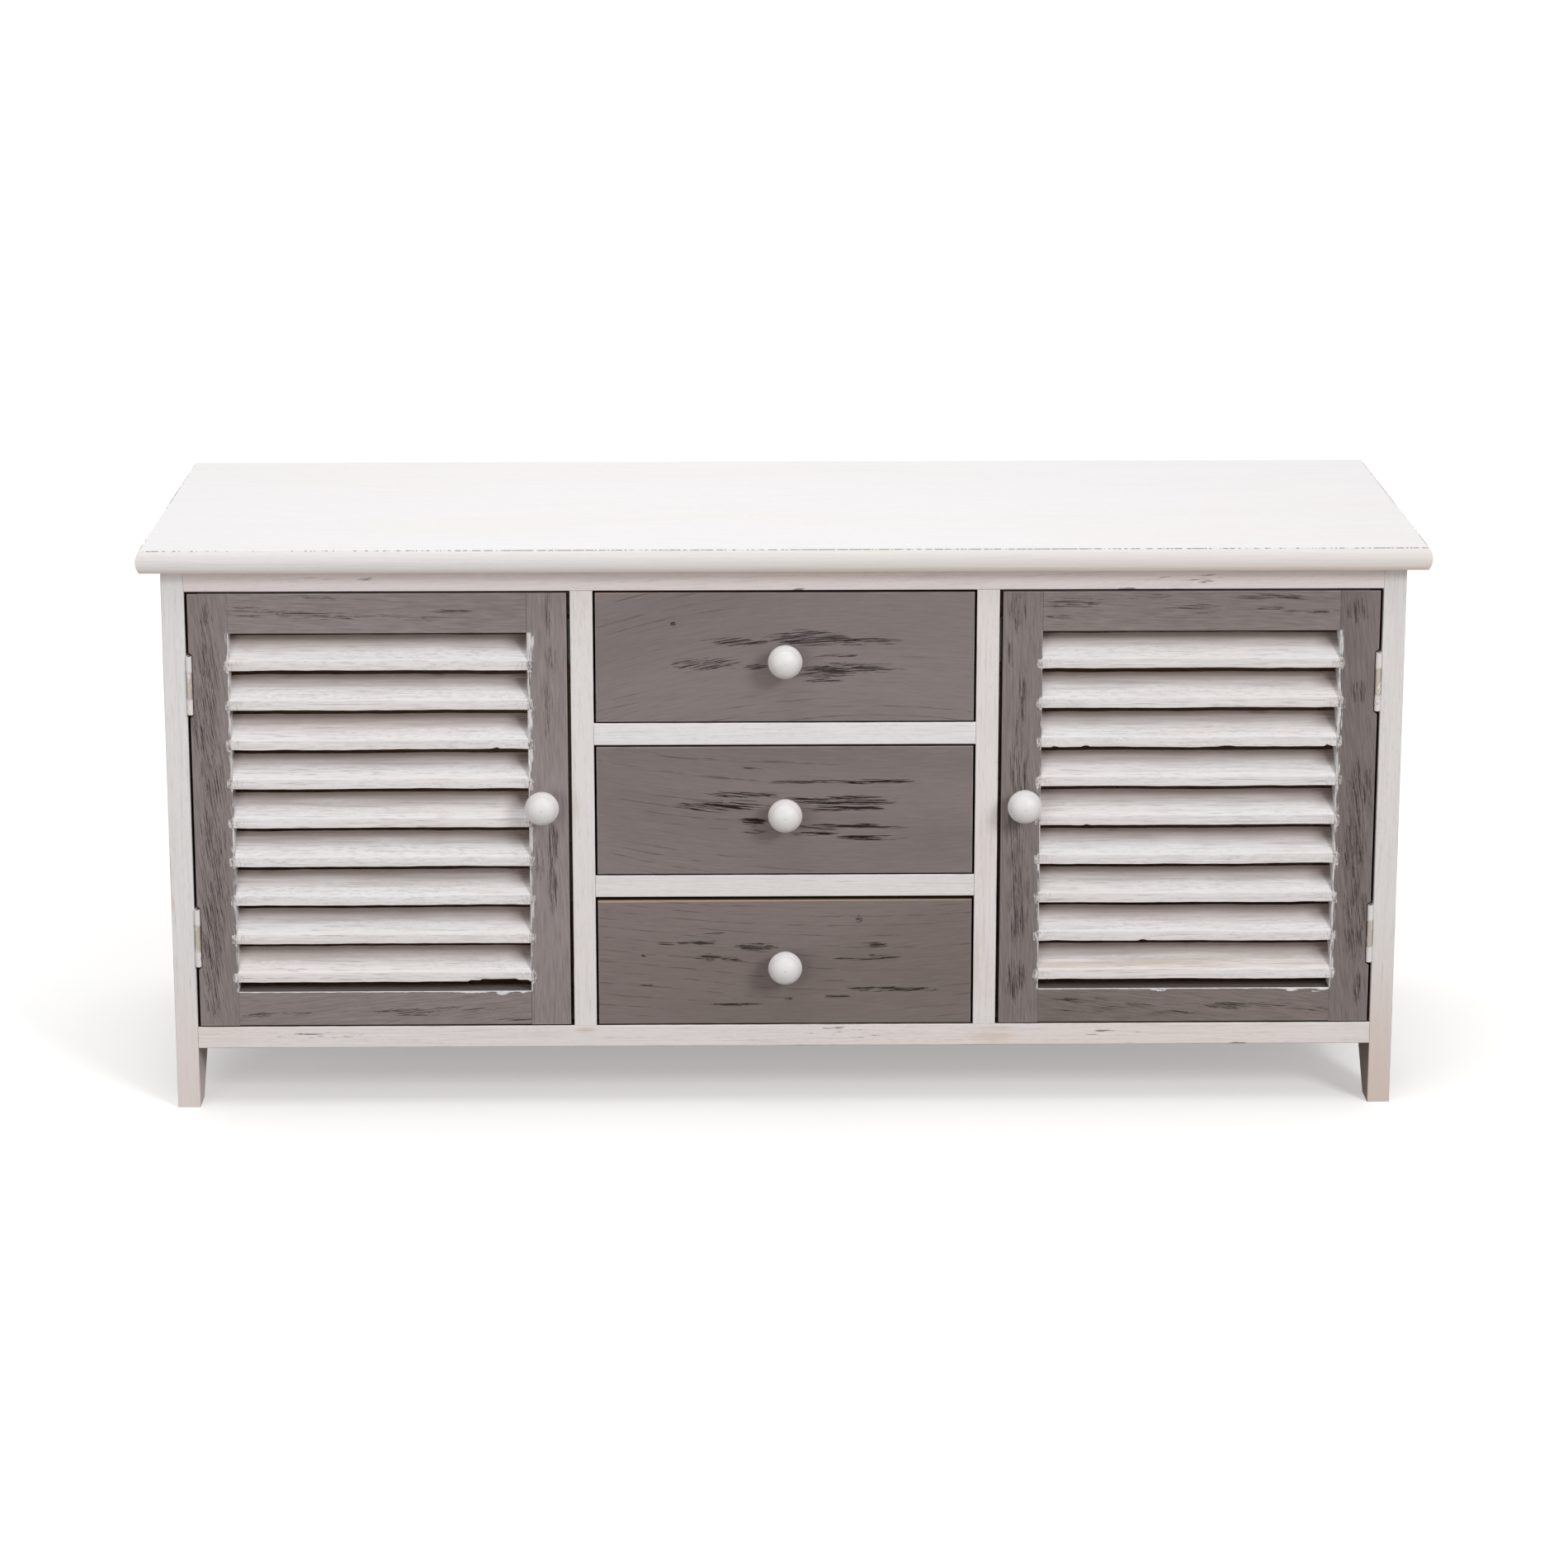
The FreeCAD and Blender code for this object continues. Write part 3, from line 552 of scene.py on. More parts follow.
def knob_paint(node):
    """Satin white paint on a turned knob."""
    paint = Finish(node + "_finish")
    low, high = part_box(node)
    middle = (low + high) / 2
    outward = paint.vector(paint.x - middle.x, 0.0, paint.z - middle.z)
    radius = paint.node("ShaderNodeVectorMath", {"operation": "LENGTH"}, {0: outward}, "Value")
    turning = paint.noise((120.0, 900.0, 120.0), 2.0)
    dabs = paint.noise((220.0, 220.0, 220.0), 3.0, 0.6)
    rim = paint.rise(abs(radius - knob_rim_radius + (dabs - 0.5) * 0.0016), 0.0005, 0.0001)
    tip = paint.rise(radius + (dabs - 0.5) * 0.0012, knob_tip_radius, 0.0005)
    neck = paint.rise(paint.y, high.y - knob_neck_length, high.y - 0.0015)
    colour = paint.over(paint.rise(dabs, 0.45, 0.75) * 0.25, knob_white, cream)
    colour = paint.over(rim * 0.20 + tip * 0.32 + neck * 0.25, colour, pale_grain)
    height = dabs * 0.4 + turning * 0.2 - rim * 0.15 - tip * 0.2
    return paint.lay(colour, 0.36 + dabs * 0.15, height, 0.0004)


def hinge_paint(node):
    """White paint on the hinges, chipped, and worn to the metal on the middle knuckles."""
    paint = Finish(node + "_finish")
    chips = paint.noise((260.0, 260.0, 140.0), 4.0, 0.6)
    low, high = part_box(node)
    from_middle = abs(abs(paint.z - (low.z + high.z) / 2) - (high.z - low.z - hinge_length) / 2)
    on_middle = paint.rise(from_middle, middle_knuckle_half, middle_knuckle_half - 0.0008)
    worn = paint.rise(chips + on_middle * 0.24, 0.60, 0.70)
    dull = paint.noise((900.0, 900.0, 300.0), 2.0)
    colour = paint.over(worn * 0.75, hinge_white, hinge_metal)
    colour = paint.over(paint.rise(dull, 0.5, 0.8) * 0.25, colour, pale_grain)
    paint.set("Metallic", worn * 0.6)
    return paint.lay(colour, 0.42 + dull * 0.2, chips, 0.0003)


def bare_wood(node, grain):
    """Sawn wood with no paint."""
    wood = BoardFinish(node, grain)
    pores = wood.fibre(30.0, 1100.0)
    colour = wood.over(wood.rise(pores, 0.55, 0.75) * 0.35, wood.bare(), raw_wood_dark)
    return wood.lay(colour, 0.62 + pores * 0.2, pores, 0.0004)


def plywood(node, grain):
    """Thin plywood with a broad figure."""
    wood = BoardFinish(node, grain)
    figure = wood.ring_lines(0.022, 9.0)
    pores = wood.fibre(26.0, 900.0)
    streaks = wood.fibre(3.0, 60.0, 3.0)
    colour = wood.over(figure * 0.45 + wood.rise(streaks, 0.40, 0.75) * 0.4, ply_wood, ply_wood_dark)
    colour = wood.over(wood.rise(pores, 0.56, 0.74) * 0.4, colour, raw_wood_dark)
    return wood.lay(colour, 0.60 + pores * 0.2, pores, 0.0003)


def zinc(name):
    """Zinc plated steel, slightly dulled."""
    metal = Finish(name)
    cloud = metal.noise((90.0, 90.0, 90.0), 3.0)
    fine = metal.noise((1500.0, 1500.0, 1500.0), 2.0)
    metal.set("Metallic", 1.0)
    colour = metal.over(metal.rise(cloud, 0.35, 0.70), zinc_bright, zinc_dull)
    return metal.lay(colour, 0.28 + cloud * 0.3, fine, 0.0001)


def catch_plastic(name):
    """Off-white moulded plastic."""
    plastic = Finish(name)
    fine = plastic.noise((1800.0, 1800.0, 1800.0), 2.0)
    cloud = plastic.noise((60.0, 60.0, 60.0), 2.0)
    colour = plastic.over(plastic.rise(cloud, 0.3, 0.7), plastic_white, plastic_cream)
    return plastic.lay(colour, 0.36 + fine * 0.15, fine, 0.0002)


# Rubbed marks on the fronts: middle across and up, half width, half height in metres, and strength
top_drawer_marks = [
    (-0.0326, 0.3422, 0.0207, 0.0028, 0.85), (0.0185, 0.3444, 0.0276, 0.0047, 1.0),
    (0.0543, 0.3422, 0.0221, 0.0028, 0.75), (0.0129, 0.3496, 0.0072, 0.0014, 0.8),
    (-0.0533, 0.3262, 0.0221, 0.0039, 0.85), (-0.0739, 0.3242, 0.0061, 0.0011, 0.8),
    (-0.0202, 0.3240, 0.0083, 0.0019, 0.9), (0.0364, 0.3320, 0.0152, 0.0011, 0.8),
    (0.0447, 0.3226, 0.0317, 0.0039, 1.0), (0.0295, 0.3179, 0.0207, 0.0028, 0.85),
    (0.0267, 0.3140, 0.0124, 0.0022, 0.65), (-0.0781, 0.3549, 0.0020, 0.0013, 0.85),
]
middle_drawer_marks = [
    (-0.0202, 0.2506, 0.0152, 0.0011, 0.75), (0.0198, 0.2487, 0.0152, 0.0011, 0.65),
    (0.0433, 0.2402, 0.0455, 0.0014, 1.0), (0.0681, 0.2410, 0.0193, 0.0014, 1.0),
    (-0.0450, 0.2228, 0.0290, 0.0039, 1.0), (-0.0284, 0.2311, 0.0298, 0.0022, 1.0),
    (0.0405, 0.2267, 0.0359, 0.0033, 1.0), (0.0405, 0.2206, 0.0317, 0.0019, 1.0),
    (-0.0229, 0.2109, 0.0088, 0.0028, 1.0), (0.0460, 0.2076, 0.0345, 0.0022, 1.0),
    (0.0185, 0.2021, 0.0165, 0.0019, 0.9), (0.0571, 0.1991, 0.0234, 0.0017, 1.0),
    (-0.0215, 0.2038, 0.0088, 0.0011, 0.8),
]
bottom_drawer_marks = [
    (-0.0801, 0.1214, 0.0125, 0.0011, 1.0), (-0.0566, 0.1221, 0.0100, 0.0016, 0.9),
    (-0.0479, 0.1290, 0.0092, 0.0009, 1.0), (-0.0184, 0.1183, 0.0143, 0.0031, 0.95),
    (-0.0549, 0.1108, 0.0083, 0.0024, 0.85), (-0.0375, 0.1096, 0.0087, 0.0017, 0.7),
    (0.0433, 0.1098, 0.0075, 0.0012, 1.0), (0.0633, 0.1101, 0.0160, 0.0021, 0.75),
    (0.0633, 0.1200, 0.0100, 0.0019, 0.7), (0.0781, 0.0868, 0.0313, 0.0017, 1.0),
    (0.0372, 0.0813, 0.0110, 0.0011, 1.0), (-0.0358, 0.0760, 0.0170, 0.0012, 1.0),
    (0.0021, 0.0800, 0.0035, 0.0014, 0.8), (-0.0987, 0.0901, 0.0050, 0.0009, 1.0),
    (-0.1005, 0.1125, 0.0017, 0.0010, 0.8), (0.0530, 0.1387, 0.0026, 0.0026, 0.8),
]
door_marks = {
    "left_hinge": [
        (-0.4040, 0.355, 0.0040, 0.014, 0.64), (-0.4035, 0.325, 0.0085, 0.020, 0.58),
        (-0.4070, 0.290, 0.0095, 0.030, 0.62), (-0.4020, 0.250, 0.0085, 0.030, 0.60),
        (-0.4035, 0.200, 0.0085, 0.030, 0.62), (-0.4050, 0.155, 0.0095, 0.030, 0.62),
        (-0.4070, 0.115, 0.0085, 0.030, 0.58), (-0.4070, 0.080, 0.0060, 0.015, 0.50),
    ],
    "left_lock": [
        (-0.1653, 0.3637, 0.0026, 0.015, 0.72), (-0.1642, 0.3315, 0.0032, 0.008, 0.64),
        (-0.1665, 0.2960, 0.0028, 0.024, 0.52), (-0.1642, 0.1936, 0.0038, 0.018, 0.80),
        (-0.1648, 0.1643, 0.0038, 0.018, 0.80), (-0.1740, 0.1800, 0.0030, 0.016, 0.48),
    ],
    "right_lock": [
        (0.1580, 0.3309, 0.0022, 0.011, 0.72), (0.1668, 0.3010, 0.0030, 0.018, 0.72),
        (0.1627, 0.3631, 0.0060, 0.013, 0.52), (0.1650, 0.2500, 0.0060, 0.030, 0.60),
        (0.1630, 0.2000, 0.0060, 0.030, 0.60), (0.1660, 0.1500, 0.0070, 0.030, 0.64),
        (0.1650, 0.0928, 0.0070, 0.015, 0.68),
    ],
    "right_hinge": [
        (0.4010, 0.3626, 0.0080, 0.008, 0.52), (0.4045, 0.3051, 0.0060, 0.008, 0.52),
        (0.4045, 0.2452, 0.0030, 0.011, 0.80), (0.4080, 0.2306, 0.0095, 0.018, 0.68),
        (0.4040, 0.1900, 0.0080, 0.030, 0.64), (0.4060, 0.1400, 0.0080, 0.030, 0.68),
        (0.4092, 0.0869, 0.0026, 0.012, 0.76),
    ],
    "left_top": [
        (-0.2338, 0.3647, 0.0169, 0.0012, 0.80), (-0.3691, 0.3647, 0.0207, 0.0038, 0.50),
        (-0.3278, 0.3617, 0.0259, 0.0038, 0.50), (-0.2726, 0.3600, 0.0328, 0.0024, 0.40),
        (-0.3209, 0.3750, 0.0155, 0.0014, 0.40),
    ],
    "right_top": [
        (0.1918, 0.3594, 0.0093, 0.0014, 0.80), (0.2025, 0.3691, 0.0205, 0.0039, 0.56),
        (0.2861, 0.3643, 0.0196, 0.0036, 0.40), (0.3413, 0.3732, 0.0267, 0.0025, 0.68),
        (0.3395, 0.3654, 0.0110, 0.0016, 0.76), (0.3680, 0.3629, 0.0213, 0.0018, 0.52),
        (0.2541, 0.3736, 0.0160, 0.0018, 0.40),
    ],
    "left_bottom": [
        (-0.3720, 0.0700, 0.0127, 0.0011, 0.60), (-0.3829, 0.0683, 0.0163, 0.0007, 0.48),
        (-0.3484, 0.0703, 0.0113, 0.0015, 0.48), (-0.2703, 0.0718, 0.0254, 0.0016, 0.60),
        (-0.2395, 0.0740, 0.0131, 0.0013, 0.76), (-0.2104, 0.0725, 0.0203, 0.0013, 0.60),
        (-0.1959, 0.0653, 0.0142, 0.0011, 0.76), (-0.2631, 0.0689, 0.0145, 0.0007, 0.40),
    ],
    "right_bottom": [
        (0.2094, 0.0777, 0.0222, 0.0019, 0.60), (0.2465, 0.0737, 0.0241, 0.0019, 0.56),
        (0.2798, 0.0681, 0.0204, 0.0015, 0.68), (0.3169, 0.0731, 0.0204, 0.0026, 0.76),
        (0.3447, 0.0740, 0.0157, 0.0017, 0.56), (0.3762, 0.0703, 0.0157, 0.0024, 0.48),
        (0.2169, 0.0703, 0.0222, 0.0015, 0.40),
    ],
}
top_rail_scuffs = [(-0.316, 0.388, 0.050, 0.0012, 0.35), (0.0100, 0.3795, 0.0050, 0.0012, 1.0),
                   (-0.4035, 0.3795, 0.0030, 0.0010, 0.9), (0.2380, 0.3800, 0.0070, 0.0016, 0.9),
                   (0.2850, 0.3865, 0.0300, 0.0040, 0.45)]
bottom_scuffs = [(-0.346, 0.0555, 0.0016, 0.0014, 0.8), (-0.325, 0.0530, 0.0140, 0.0012, 0.7),
                 (-0.330, 0.0540, 0.0450, 0.0030, 0.45), (0.043, 0.0552, 0.0380, 0.0045, 0.45),
                 (0.223, 0.0540, 0.0280, 0.0028, 0.50),
                 (0.2480, 0.0448, 0.0040, 0.0010, 1.0), (0.3240, 0.0448, 0.0070, 0.0010, 1.0)]
bottom_stains = [(-0.143, 0.0570, 0.0070, 0.0020, 0.9), (0.150, 0.0530, 0.0160, 0.0060, 0.5),
                 (0.430, 0.0540, 0.0120, 0.0060, 0.4)]
side_stains = [(-0.4345, 0.1527, 0.0016, 0.0070, 1.0)]
left_divider_stains = [(-0.1510, 0.2220, 0.0060, 0.0160, 0.30), (-0.1440, 0.1000, 0.0080, 0.0300, 0.12)]
right_divider_stains = [(0.1430, 0.1900, 0.0090, 0.0280, 0.22), (0.1400, 0.1050, 0.0080, 0.0280, 0.32)]

# How much lighter or darker than plain grey or white paint each board of a door is drawn: partly each
# board's own tone, partly painted light and shade, lighter on the left door and darker and warmer on the
# right
door_tints = {
    "left_hinge": (1.08, 1.09, 1.09), "left_lock": (1.18, 1.19, 1.20), "left_top": (1.11, 1.12, 1.12),
    "left_bottom": (1.09, 1.09, 1.07), "right_hinge": (0.90, 0.90, 0.88), "right_lock": (1.0, 1.0, 1.0),
    "right_top": (1.03, 1.03, 1.02), "right_bottom": (0.90, 0.88, 0.83),
}
# The left door's slats are drawn a little lighter: painted light.
slat_tints = {"left": (1.03, 1.03, 1.03), "right": (1.0, 1.0, 1.0)}

# White daubs on the doors: widths at the louvre's bottom and top, and smears by middle and half length
daub_widths = {
    "left_hinge": (0.0018, 0.0018), "left_lock": (0.0022, 0.0056),
    "right_lock": (0.0018, 0.0007), "right_hinge": (0.0028, 0.0034),
}
rail_smears = {"left": [(-0.222, 0.016), (-0.196, 0.014)], "right": [(0.267, 0.007), (0.372, 0.020)]}

finishes = {
    "top_panel": white_board("top_panel", "X", creams=0.25, show=0.35, wear=rubbed_and_shaded_nose),
    "left_side_panel": white_board("left_side_panel", "Z",
                                   inside_bare(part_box("left_side_panel")[1].x, 0.05, 0.50),
                                   foot=(foot_cream, 0.6), stains=side_stains),
    # The right side panel is drawn darker and warmer, with more painted shade on its foot and its inner
    # face.
    "right_side_panel": white_board("right_side_panel", "Z",
                                    inside_bare(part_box("right_side_panel")[0].x, 0.80, 1.0),
                                    tint=(0.97, 0.955, 0.94), foot=(foot_amber, 0.85)),
    "bottom_panel": white_board("bottom_panel", "X", front_painted, creams=0.8, tint=(1.015, 0.965, 0.950),
                                scuffs=bottom_scuffs, stains=bottom_stains),
    "left_divider": white_board("left_divider", "Z", front_painted, tint=(1.02, 0.995, 0.985),
                                stains=left_divider_stains),
    "right_divider": white_board("right_divider", "Z", front_painted, tint=(1.015, 0.980, 0.970),
                                 stains=right_divider_stains),
    # The top rail's darker, pinker tint is painted shade under the top board's overhang.
    "top_front_rail": white_board("top_front_rail", "X", front_painted, slope=0.04,
                                  tint=(1.01, 0.940, 0.930), scuffs=top_rail_scuffs),
    "upper_drawer_rail": white_board("upper_drawer_rail", "X", front_painted, tint=(1.06, 1.05, 1.05)),
    "lower_drawer_rail": white_board("lower_drawer_rail", "X", front_painted, tint=(1.0, 0.975, 0.965)),
    "top_back_rail": bare_wood("top_back_rail", "X"),
    "back_panel": plywood("back_panel", "X"),
    "drawer_runners": bare_wood("drawer_runners", "Y"),
    "carcase_dowels": bare_wood("carcase_dowels", "X"),
    "hinge_frame_leaves": hinge_paint("hinge_frame_leaves"),
    "door_catches": catch_plastic("catch_plastic"),
    # The drawer fronts are drawn darker and warmer towards the bottom one: painted shade.
    "top_drawer_front": grey_board("top_drawer_front", "X", slope=0.10, bow=-0.8, marks=top_drawer_marks,
                                   tint=(0.98, 0.98, 0.98), brushed=0.25, lines=0.6,
                                   stroke=(52.0, 2300.0, 0.88), edges=drawer_edges(-0.0003, 0.004)),
    "middle_drawer_front": grey_board("middle_drawer_front", "X", slope=-0.06, bow=0.5,
                                      marks=middle_drawer_marks, tint=(0.96, 0.955, 0.95), brushed=0.25,
                                      lines=0.6, stroke=(38.0, 1600.0, 0.97),
                                      edges=drawer_edges(-0.0010, 0.004)),
    "bottom_drawer_front": grey_board("bottom_drawer_front", "X", bow=0.4, marks=bottom_drawer_marks,
                                      tint=(0.90, 0.88, 0.85), brushed=0.25, lines=0.5,
                                      stroke=(58.0, 1600.0, 0.86), edges=drawer_edges(0.0008, 0.004)),
}
plated = zinc("zinc_plate")
for name in ("back_panel_nails", "hinge_pins", "hinge_frame_screws", "top_screws"):
    finishes[name] = plated
for side in ("left", "right"):
    left, right = louvre_sides[side]
    hinge_edge, lock_edge = (left, right) if side == "left" else (right, left)
    outward = -1 if side == "left" else 1
    door = side + "_door_"
    stile_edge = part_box(door + "hinge_stile")[0 if side == "left" else 1].x
    hinge_daubs = upright_daubs(hinge_edge, outward, daub_widths[side + "_hinge"])
    lock_daubs = upright_daubs(lock_edge, -outward, daub_widths[side + "_lock"])
    rail_daubs = level_daubs(louvre_bottom_z, rail_smears[side])
    # Painted shade on the hinge stile's outer edge and hinge notches.
    stain_and_shade = hinge_edge_shaded(stile_edge, outward)
    boards = [
        ("hinge", "hinge_stile", "Z", -0.12, hinge_daubs, stain_and_shade),
        ("lock", "lock_stile", "Z", -0.03, lock_daubs, None),
        ("top", "top_rail", "X", -0.03, None, None),
        ("bottom", "bottom_rail", "X", 0.10 if side == "left" else -0.12, rail_daubs, None),
    ]
    for place, board, grain, slope, daubs, edges in boards:
        key = side + "_" + place
        finishes[door + board] = grey_board(door + board, grain, slope, marks=door_marks[key],
                                            tint=door_tints[key], louvre=daubs, edges=edges)
    finishes[door + "slats"] = white_slats(side)
    finishes[door + "knob"] = knob_paint(door + "knob")
    finishes[door + "hinge_leaves"] = hinge_paint(door + "hinge_leaves")
    for part in ("knob_screw", "hinge_screws", "strike_plate"):
        finishes[door + part] = plated
for drawer in ("top_drawer_", "middle_drawer_", "bottom_drawer_"):
    finishes[drawer + "left_side"] = bare_wood(drawer + "left_side", "Y")
    finishes[drawer + "right_side"] = bare_wood(drawer + "right_side", "Y")
    finishes[drawer + "back"] = bare_wood(drawer + "back", "X")
    finishes[drawer + "bottom"] = plywood(drawer + "bottom", "X")
    finishes[drawer + "knob"] = knob_paint(drawer + "knob")
    finishes[drawer + "knob_screw"] = plated
for name, finish in finishes.items():
    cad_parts[name].material_slots[0].material = finish.material


# Slats with edges planed by hand, in place of the plain ones

def pick(piece, kind, test):
    """In edit mode, selects the faces, edges or corners of a piece whose middle passes a test."""
    bpy.ops.mesh.select_mode(type=kind)
    bpy.ops.mesh.select_all(action="DESELECT")
    shape = bmesh.from_edit_mesh(piece.data)
    parts = {"VERT": shape.verts, "EDGE": shape.edges, "FACE": shape.faces}[kind]
    for part in parts:
        corners = [part] if kind == "VERT" else part.verts
        middle = sum((corner.co for corner in corners), 0 * corners[0].co) / len(corners)
        part.select = test(middle, part)
    shape.select_flush_mode()
    bmesh.update_edit_mesh(piece.data)


def planed_slat():
    """The lowest slat of the left door, with cuts along it for its wavy edges."""
    left, right = louvre_sides["left"]
    length = right - left + 2 * slat_housing
    depth = slat_depth + slat_proud
    bpy.ops.object.select_all(action="DESELECT")
    bpy.ops.mesh.primitive_cube_add(
        size=1, location=((left + right) / 2, front_y - slat_proud + depth / 2,
                          louvre_bottom_z + lowest_slat_gap + slat_edge / 2))
    slat = bpy.context.active_object
    slat.scale = (length, depth, slat_edge)
    bpy.ops.object.transform_apply(location=True, rotation=False, scale=True)
    bpy.ops.object.mode_set(mode="EDIT")
    back_y = front_y - slat_proud + depth
    pick(slat, "FACE", lambda middle, face: middle.y > back_y - depth / 4)
    bpy.ops.transform.translate(value=(0, 0, slat_rise))
    pick(slat, "EDGE", lambda middle, edge: abs(edge.verts[0].co.x - edge.verts[1].co.x) > length / 2)
    bpy.ops.mesh.subdivide(number_cuts=slat_cuts_along)
    pick(slat, "EDGE", lambda middle, edge: abs(edge.verts[0].co.y - edge.verts[1].co.y) > depth / 2)
    bpy.ops.mesh.subdivide(number_cuts=slat_cuts_across)
    bpy.ops.object.mode_set(mode="OBJECT")
    return slat


def nick(slat, x, half, height):
    """Chips a slat's lower front edge: lifts its corners within half of x, and the middle ones again."""
    lowest_z = louvre_bottom_z + lowest_slat_gap
    bpy.ops.object.select_all(action="DESELECT")
    bpy.context.view_layer.objects.active = slat
    slat.select_set(True)
    bpy.ops.object.mode_set(mode="EDIT")
    for reach in (half, half * 0.55):
        pick(slat, "VERT", lambda middle, corner: (abs(middle.x - x) < reach and middle.y < front_y
                                                   and middle.z < lowest_z + slat_edge * 0.7))
        bpy.ops.transform.translate(value=(0, 0, height / 2))
    bpy.ops.object.mode_set(mode="OBJECT")


def wander(piece, name, weights, scale, strength, direction):
    """Lets a piece's surface wander a little, as hand planed wood does."""
    texture = bpy.data.textures.new(name, "CLOUDS")
    texture.noise_scale = scale
    displace = piece.modifiers.new(name, "DISPLACE")
    displace.texture = texture
    displace.texture_coords = "LOCAL"
    displace.direction = direction
    displace.vertex_group = weights
    displace.mid_level = 0.5
    displace.strength = strength
    bpy.ops.object.modifier_apply(modifier=displace.name)


def slats_of(side, pattern):
    """Nine copies of the slat for a door, each with a mesh of its own, joined in one piece."""
    left, right = louvre_sides[side]
    shift_x = left - louvre_sides["left"][0]
    copies = []
    for number in range(slat_count):
        copy = pattern.copy()
        copy.data = pattern.data.copy()
        bpy.context.scene.collection.objects.link(copy)
        for row, x, half, height in slat_nicks[side]:
            if row == number:
                nick(copy, x - shift_x, half, height)
        copy.location = (shift_x, 0, number * slat_pitch)
        copies.append(copy)
    bpy.ops.object.select_all(action="DESELECT")
    for copy in copies:
        copy.select_set(True)
    bpy.context.view_layer.objects.active = copies[0]
    bpy.ops.object.join()
    slats = bpy.context.active_object
    bpy.ops.object.transform_apply(location=True, rotation=False, scale=False)
    slats.name = side + "_louvre_slats"
    weights = "between_stiles"
    group = slats.vertex_groups.new(name=weights)
    for corner in slats.data.vertices:
        from_end = min(corner.co.x - left, right - corner.co.x)
        group.add([corner.index], min(max(from_end / slat_still_end, 0.0), 1.0), "REPLACE")
    wander(slats, side + "_slat_wave", weights, scale=0.060, strength=0.0014, direction="Z")
    wander(slats, side + "_slat_hollow", weights, scale=0.016, strength=0.0006, direction="NORMAL")
    slats.vertex_groups.clear()
    bevel = slats.modifiers.new("eased_edges", "BEVEL")
    bevel.width = slat_ease
    bevel.segments = 2
    bevel.harden_normals = True
    bevel.limit_method = "ANGLE"
    bevel.angle_limit = math.radians(35)
    bpy.ops.object.modifier_apply(modifier=bevel.name)
    bpy.ops.object.shade_smooth_by_angle(angle=math.radians(40))
    slats.data.materials.clear()
    slats.data.materials.append(finishes[side + "_door_slats"].material)
    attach(slats, side + "_door")
    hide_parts(side + "_door_slats")


# Chips on the slats' lower edges: slat from the bottom, middle across, half length and height in metres
slat_nicks = {
    "left": [(6, -0.2029, 0.0021, 0.0010), (0, -0.2035, 0.0220, 0.0020)],
    "right": [(6, 0.1903, 0.0021, 0.0008), (6, 0.2120, 0.0021, 0.0009), (6, 0.3112, 0.0050, 0.0006),
              (6, 0.3828, 0.0023, 0.0014), (1, 0.2549, 0.0025, 0.0008), (4, 0.2138, 0.0021, 0.0008)],
}
slat_pattern = planed_slat()
for side in ("left", "right"):
    slats_of(side, slat_pattern)
bpy.data.objects.remove(slat_pattern)


# Floor, background, lights and camera

def seen_directly(tree):
    """1 for what the camera sees, itself or by reflection or through glass."""
    path = tree.nodes.new("ShaderNodeLightPath")
    most = None
    for ray in ("Is Camera Ray", "Is Glossy Ray", "Is Transmission Ray"):
        if most is None:
            most = path.outputs[ray]
            continue
        pair = tree.nodes.new("ShaderNodeMath")
        pair.operation = "MAXIMUM"
        tree.links.new(most, pair.inputs[0])
        tree.links.new(path.outputs[ray], pair.inputs[1])
        most = pair.outputs[0]
    return most


def studio_floor():
    """A pale floor that keeps the cabinet's shadow and fades to white."""
    bpy.ops.object.select_all(action="DESELECT")
    bpy.ops.mesh.primitive_plane_add(size=40, location=(0, 0, 0))
    floor = bpy.context.active_object
    floor.name = "studio_floor"
    finish = Finish("studio_floor_finish")
    seen = Wire(finish, seen_directly(finish.tree))
    flat = finish.vector(finish.x, finish.y, 0.0)
    away = finish.node("ShaderNodeVectorMath", {"operation": "LENGTH"}, {0: flat}, "Value")
    far = finish.rise(away, 0.6, 1.9)
    finish.set("Base Color", finish.over(seen * (1 - far), floor_bounce, floor_seen))
    finish.set("Roughness", 1.0)
    finish.set("Specular IOR Level", 0.0)
    finish.set("Emission Strength", 1.0)
    glow = seen * (far * 0.64 + 0.36)
    finish.set("Emission Color", finish.over(glow, black, full_white))
    floor.data.materials.append(finish.material)


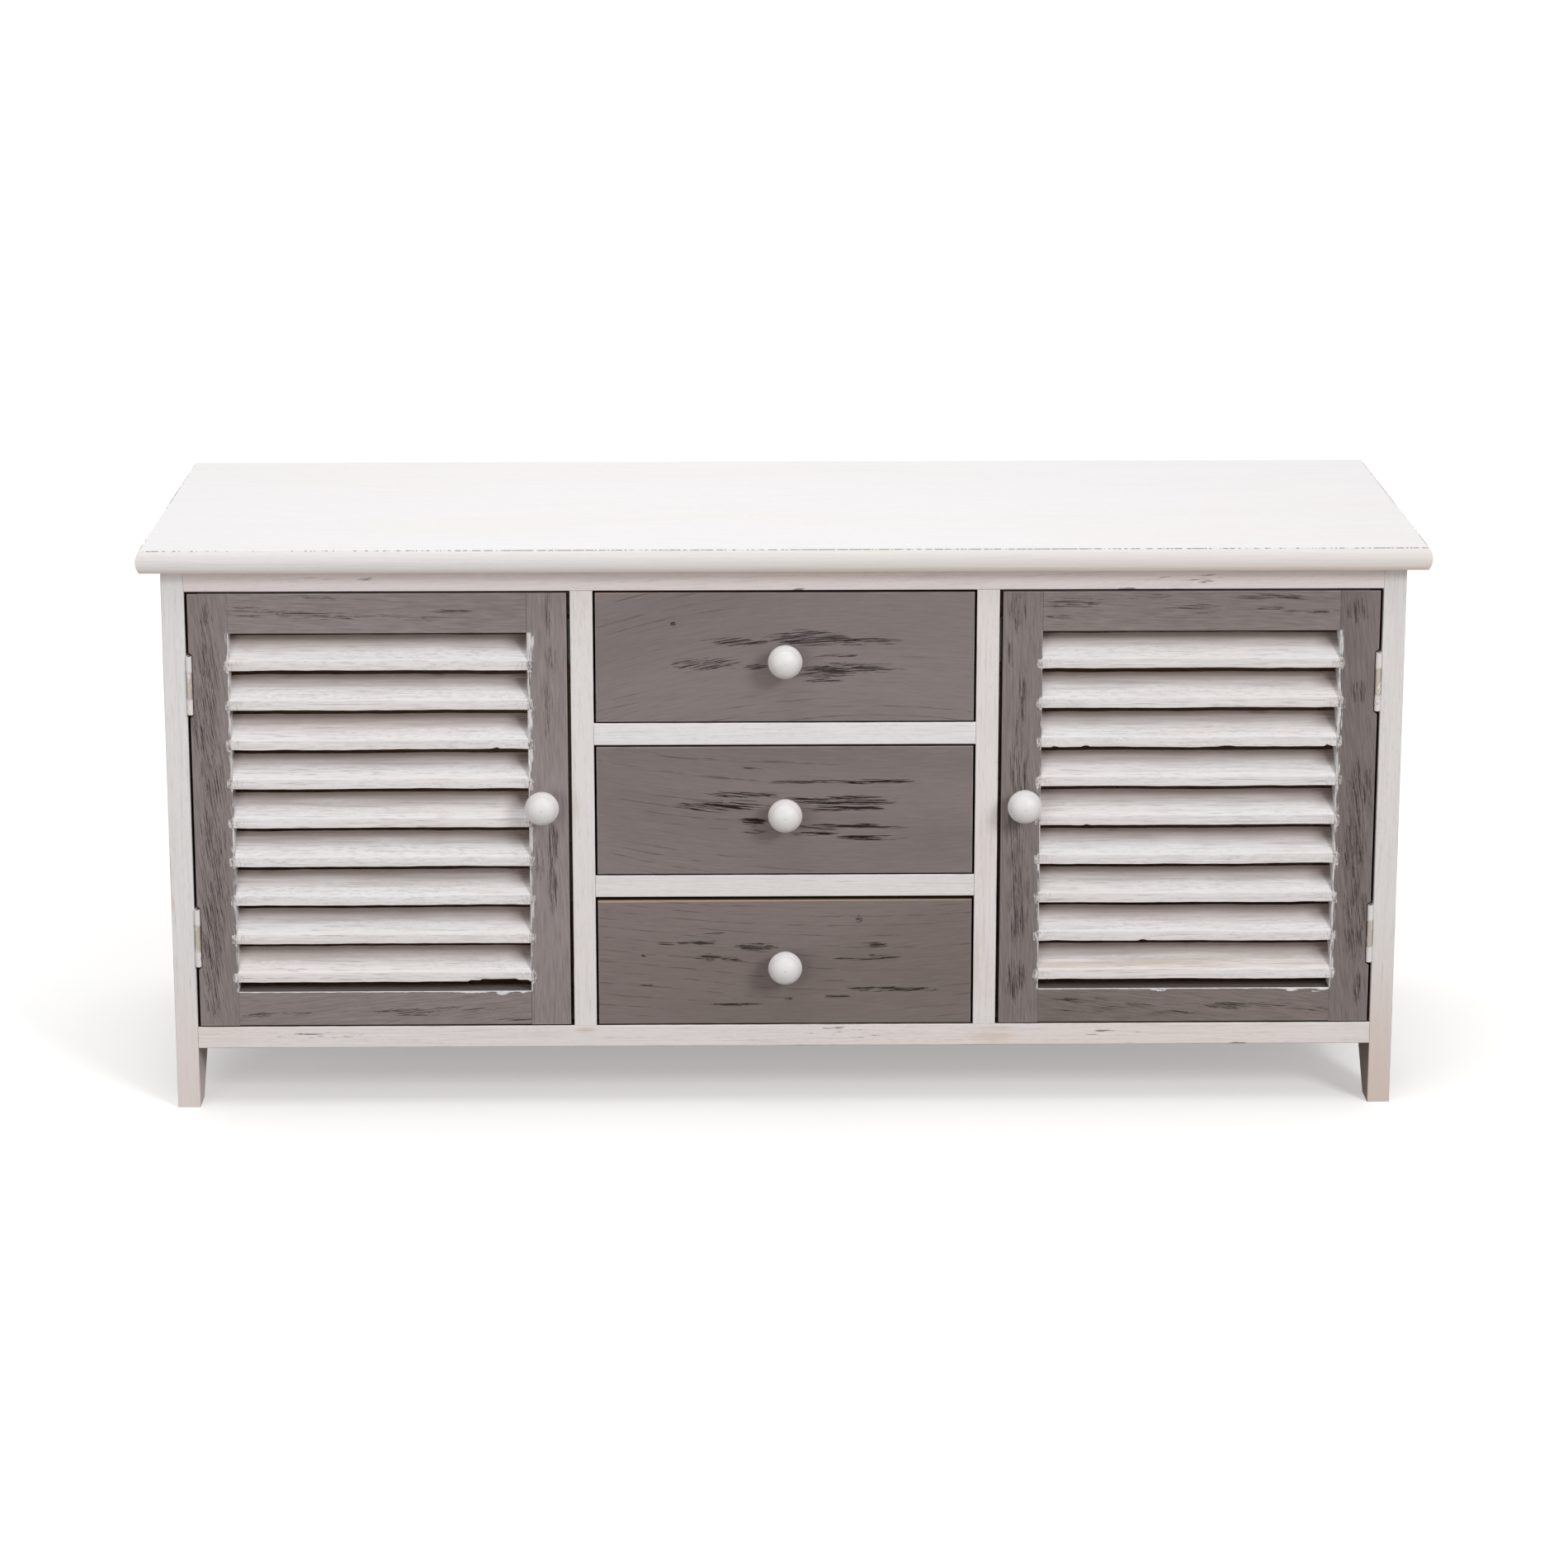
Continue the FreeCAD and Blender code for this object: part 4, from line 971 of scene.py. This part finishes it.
def studio_world(strength):
    """Soft light from all round, in front of a white background."""
    world = bpy.data.worlds.new("studio")
    world.use_nodes = True
    bpy.context.scene.world = world
    tree = world.node_tree
    soft = tree.nodes["Background"]
    soft.inputs["Color"].default_value = (*soft_light, 1.0)
    soft.inputs["Strength"].default_value = strength
    white = tree.nodes.new("ShaderNodeBackground")
    white.inputs["Color"].default_value = (*full_white, 1.0)
    white.inputs["Strength"].default_value = 1.0
    mix = tree.nodes.new("ShaderNodeMixShader")
    tree.links.new(seen_directly(tree), mix.inputs[0])
    tree.links.new(soft.outputs[0], mix.inputs[1])
    tree.links.new(white.outputs[0], mix.inputs[2])
    tree.links.new(mix.outputs[0], tree.nodes["World Output"].inputs["Surface"])


def softbox(name, place, target, size, power):
    """A large lamp that looks at a target."""
    lamp = bpy.data.lights.new(name, "AREA")
    lamp.shape = "RECTANGLE"
    lamp.size, lamp.size_y = size
    lamp.energy = power
    holder = bpy.data.objects.new(name, lamp)
    bpy.context.scene.collection.objects.link(holder)
    holder.location = place
    towards = [end - start for start, end in zip(place, target)]
    flat = math.hypot(towards[0], towards[1])
    holder.rotation_euler = (math.atan2(flat, -towards[2]), 0, math.atan2(-towards[0], towards[1]))


def studio_camera():
    """The photographer's place, from the photo's edges."""
    lens = bpy.data.cameras.new("photo_camera")
    lens.sensor_width = 36.0
    lens.lens = 94.51
    lens.shift_y = -0.12
    lens.clip_end = 100.0
    camera = bpy.data.objects.new("photo_camera", lens)
    bpy.context.scene.collection.objects.link(camera)
    camera.location = (-0.0393, -2.9402, 1.0199)
    camera.rotation_euler = (math.radians(90 - 12.968), 0, math.radians(-0.791))
    bpy.context.scene.camera = camera


studio_floor()
studio_world(strength=0.52)
softbox("key_softbox", place=(2.7, -3.6, 2.7), target=(0, -0.14, 0.2), size=(1.3, 1.3), power=92.0)
softbox("overhead_softbox", place=(-0.2, 0.0, 2.1), target=(0, 0.0, 0.4), size=(2.2, 1.4), power=18.5)
softbox("front_fill", place=(-1.7, -3.2, 0.9), target=(-0.1, -0.14, 0.2), size=(1.6, 1.2), power=21.0)
studio_camera()
bpy.context.scene.view_settings.view_transform = "Standard"
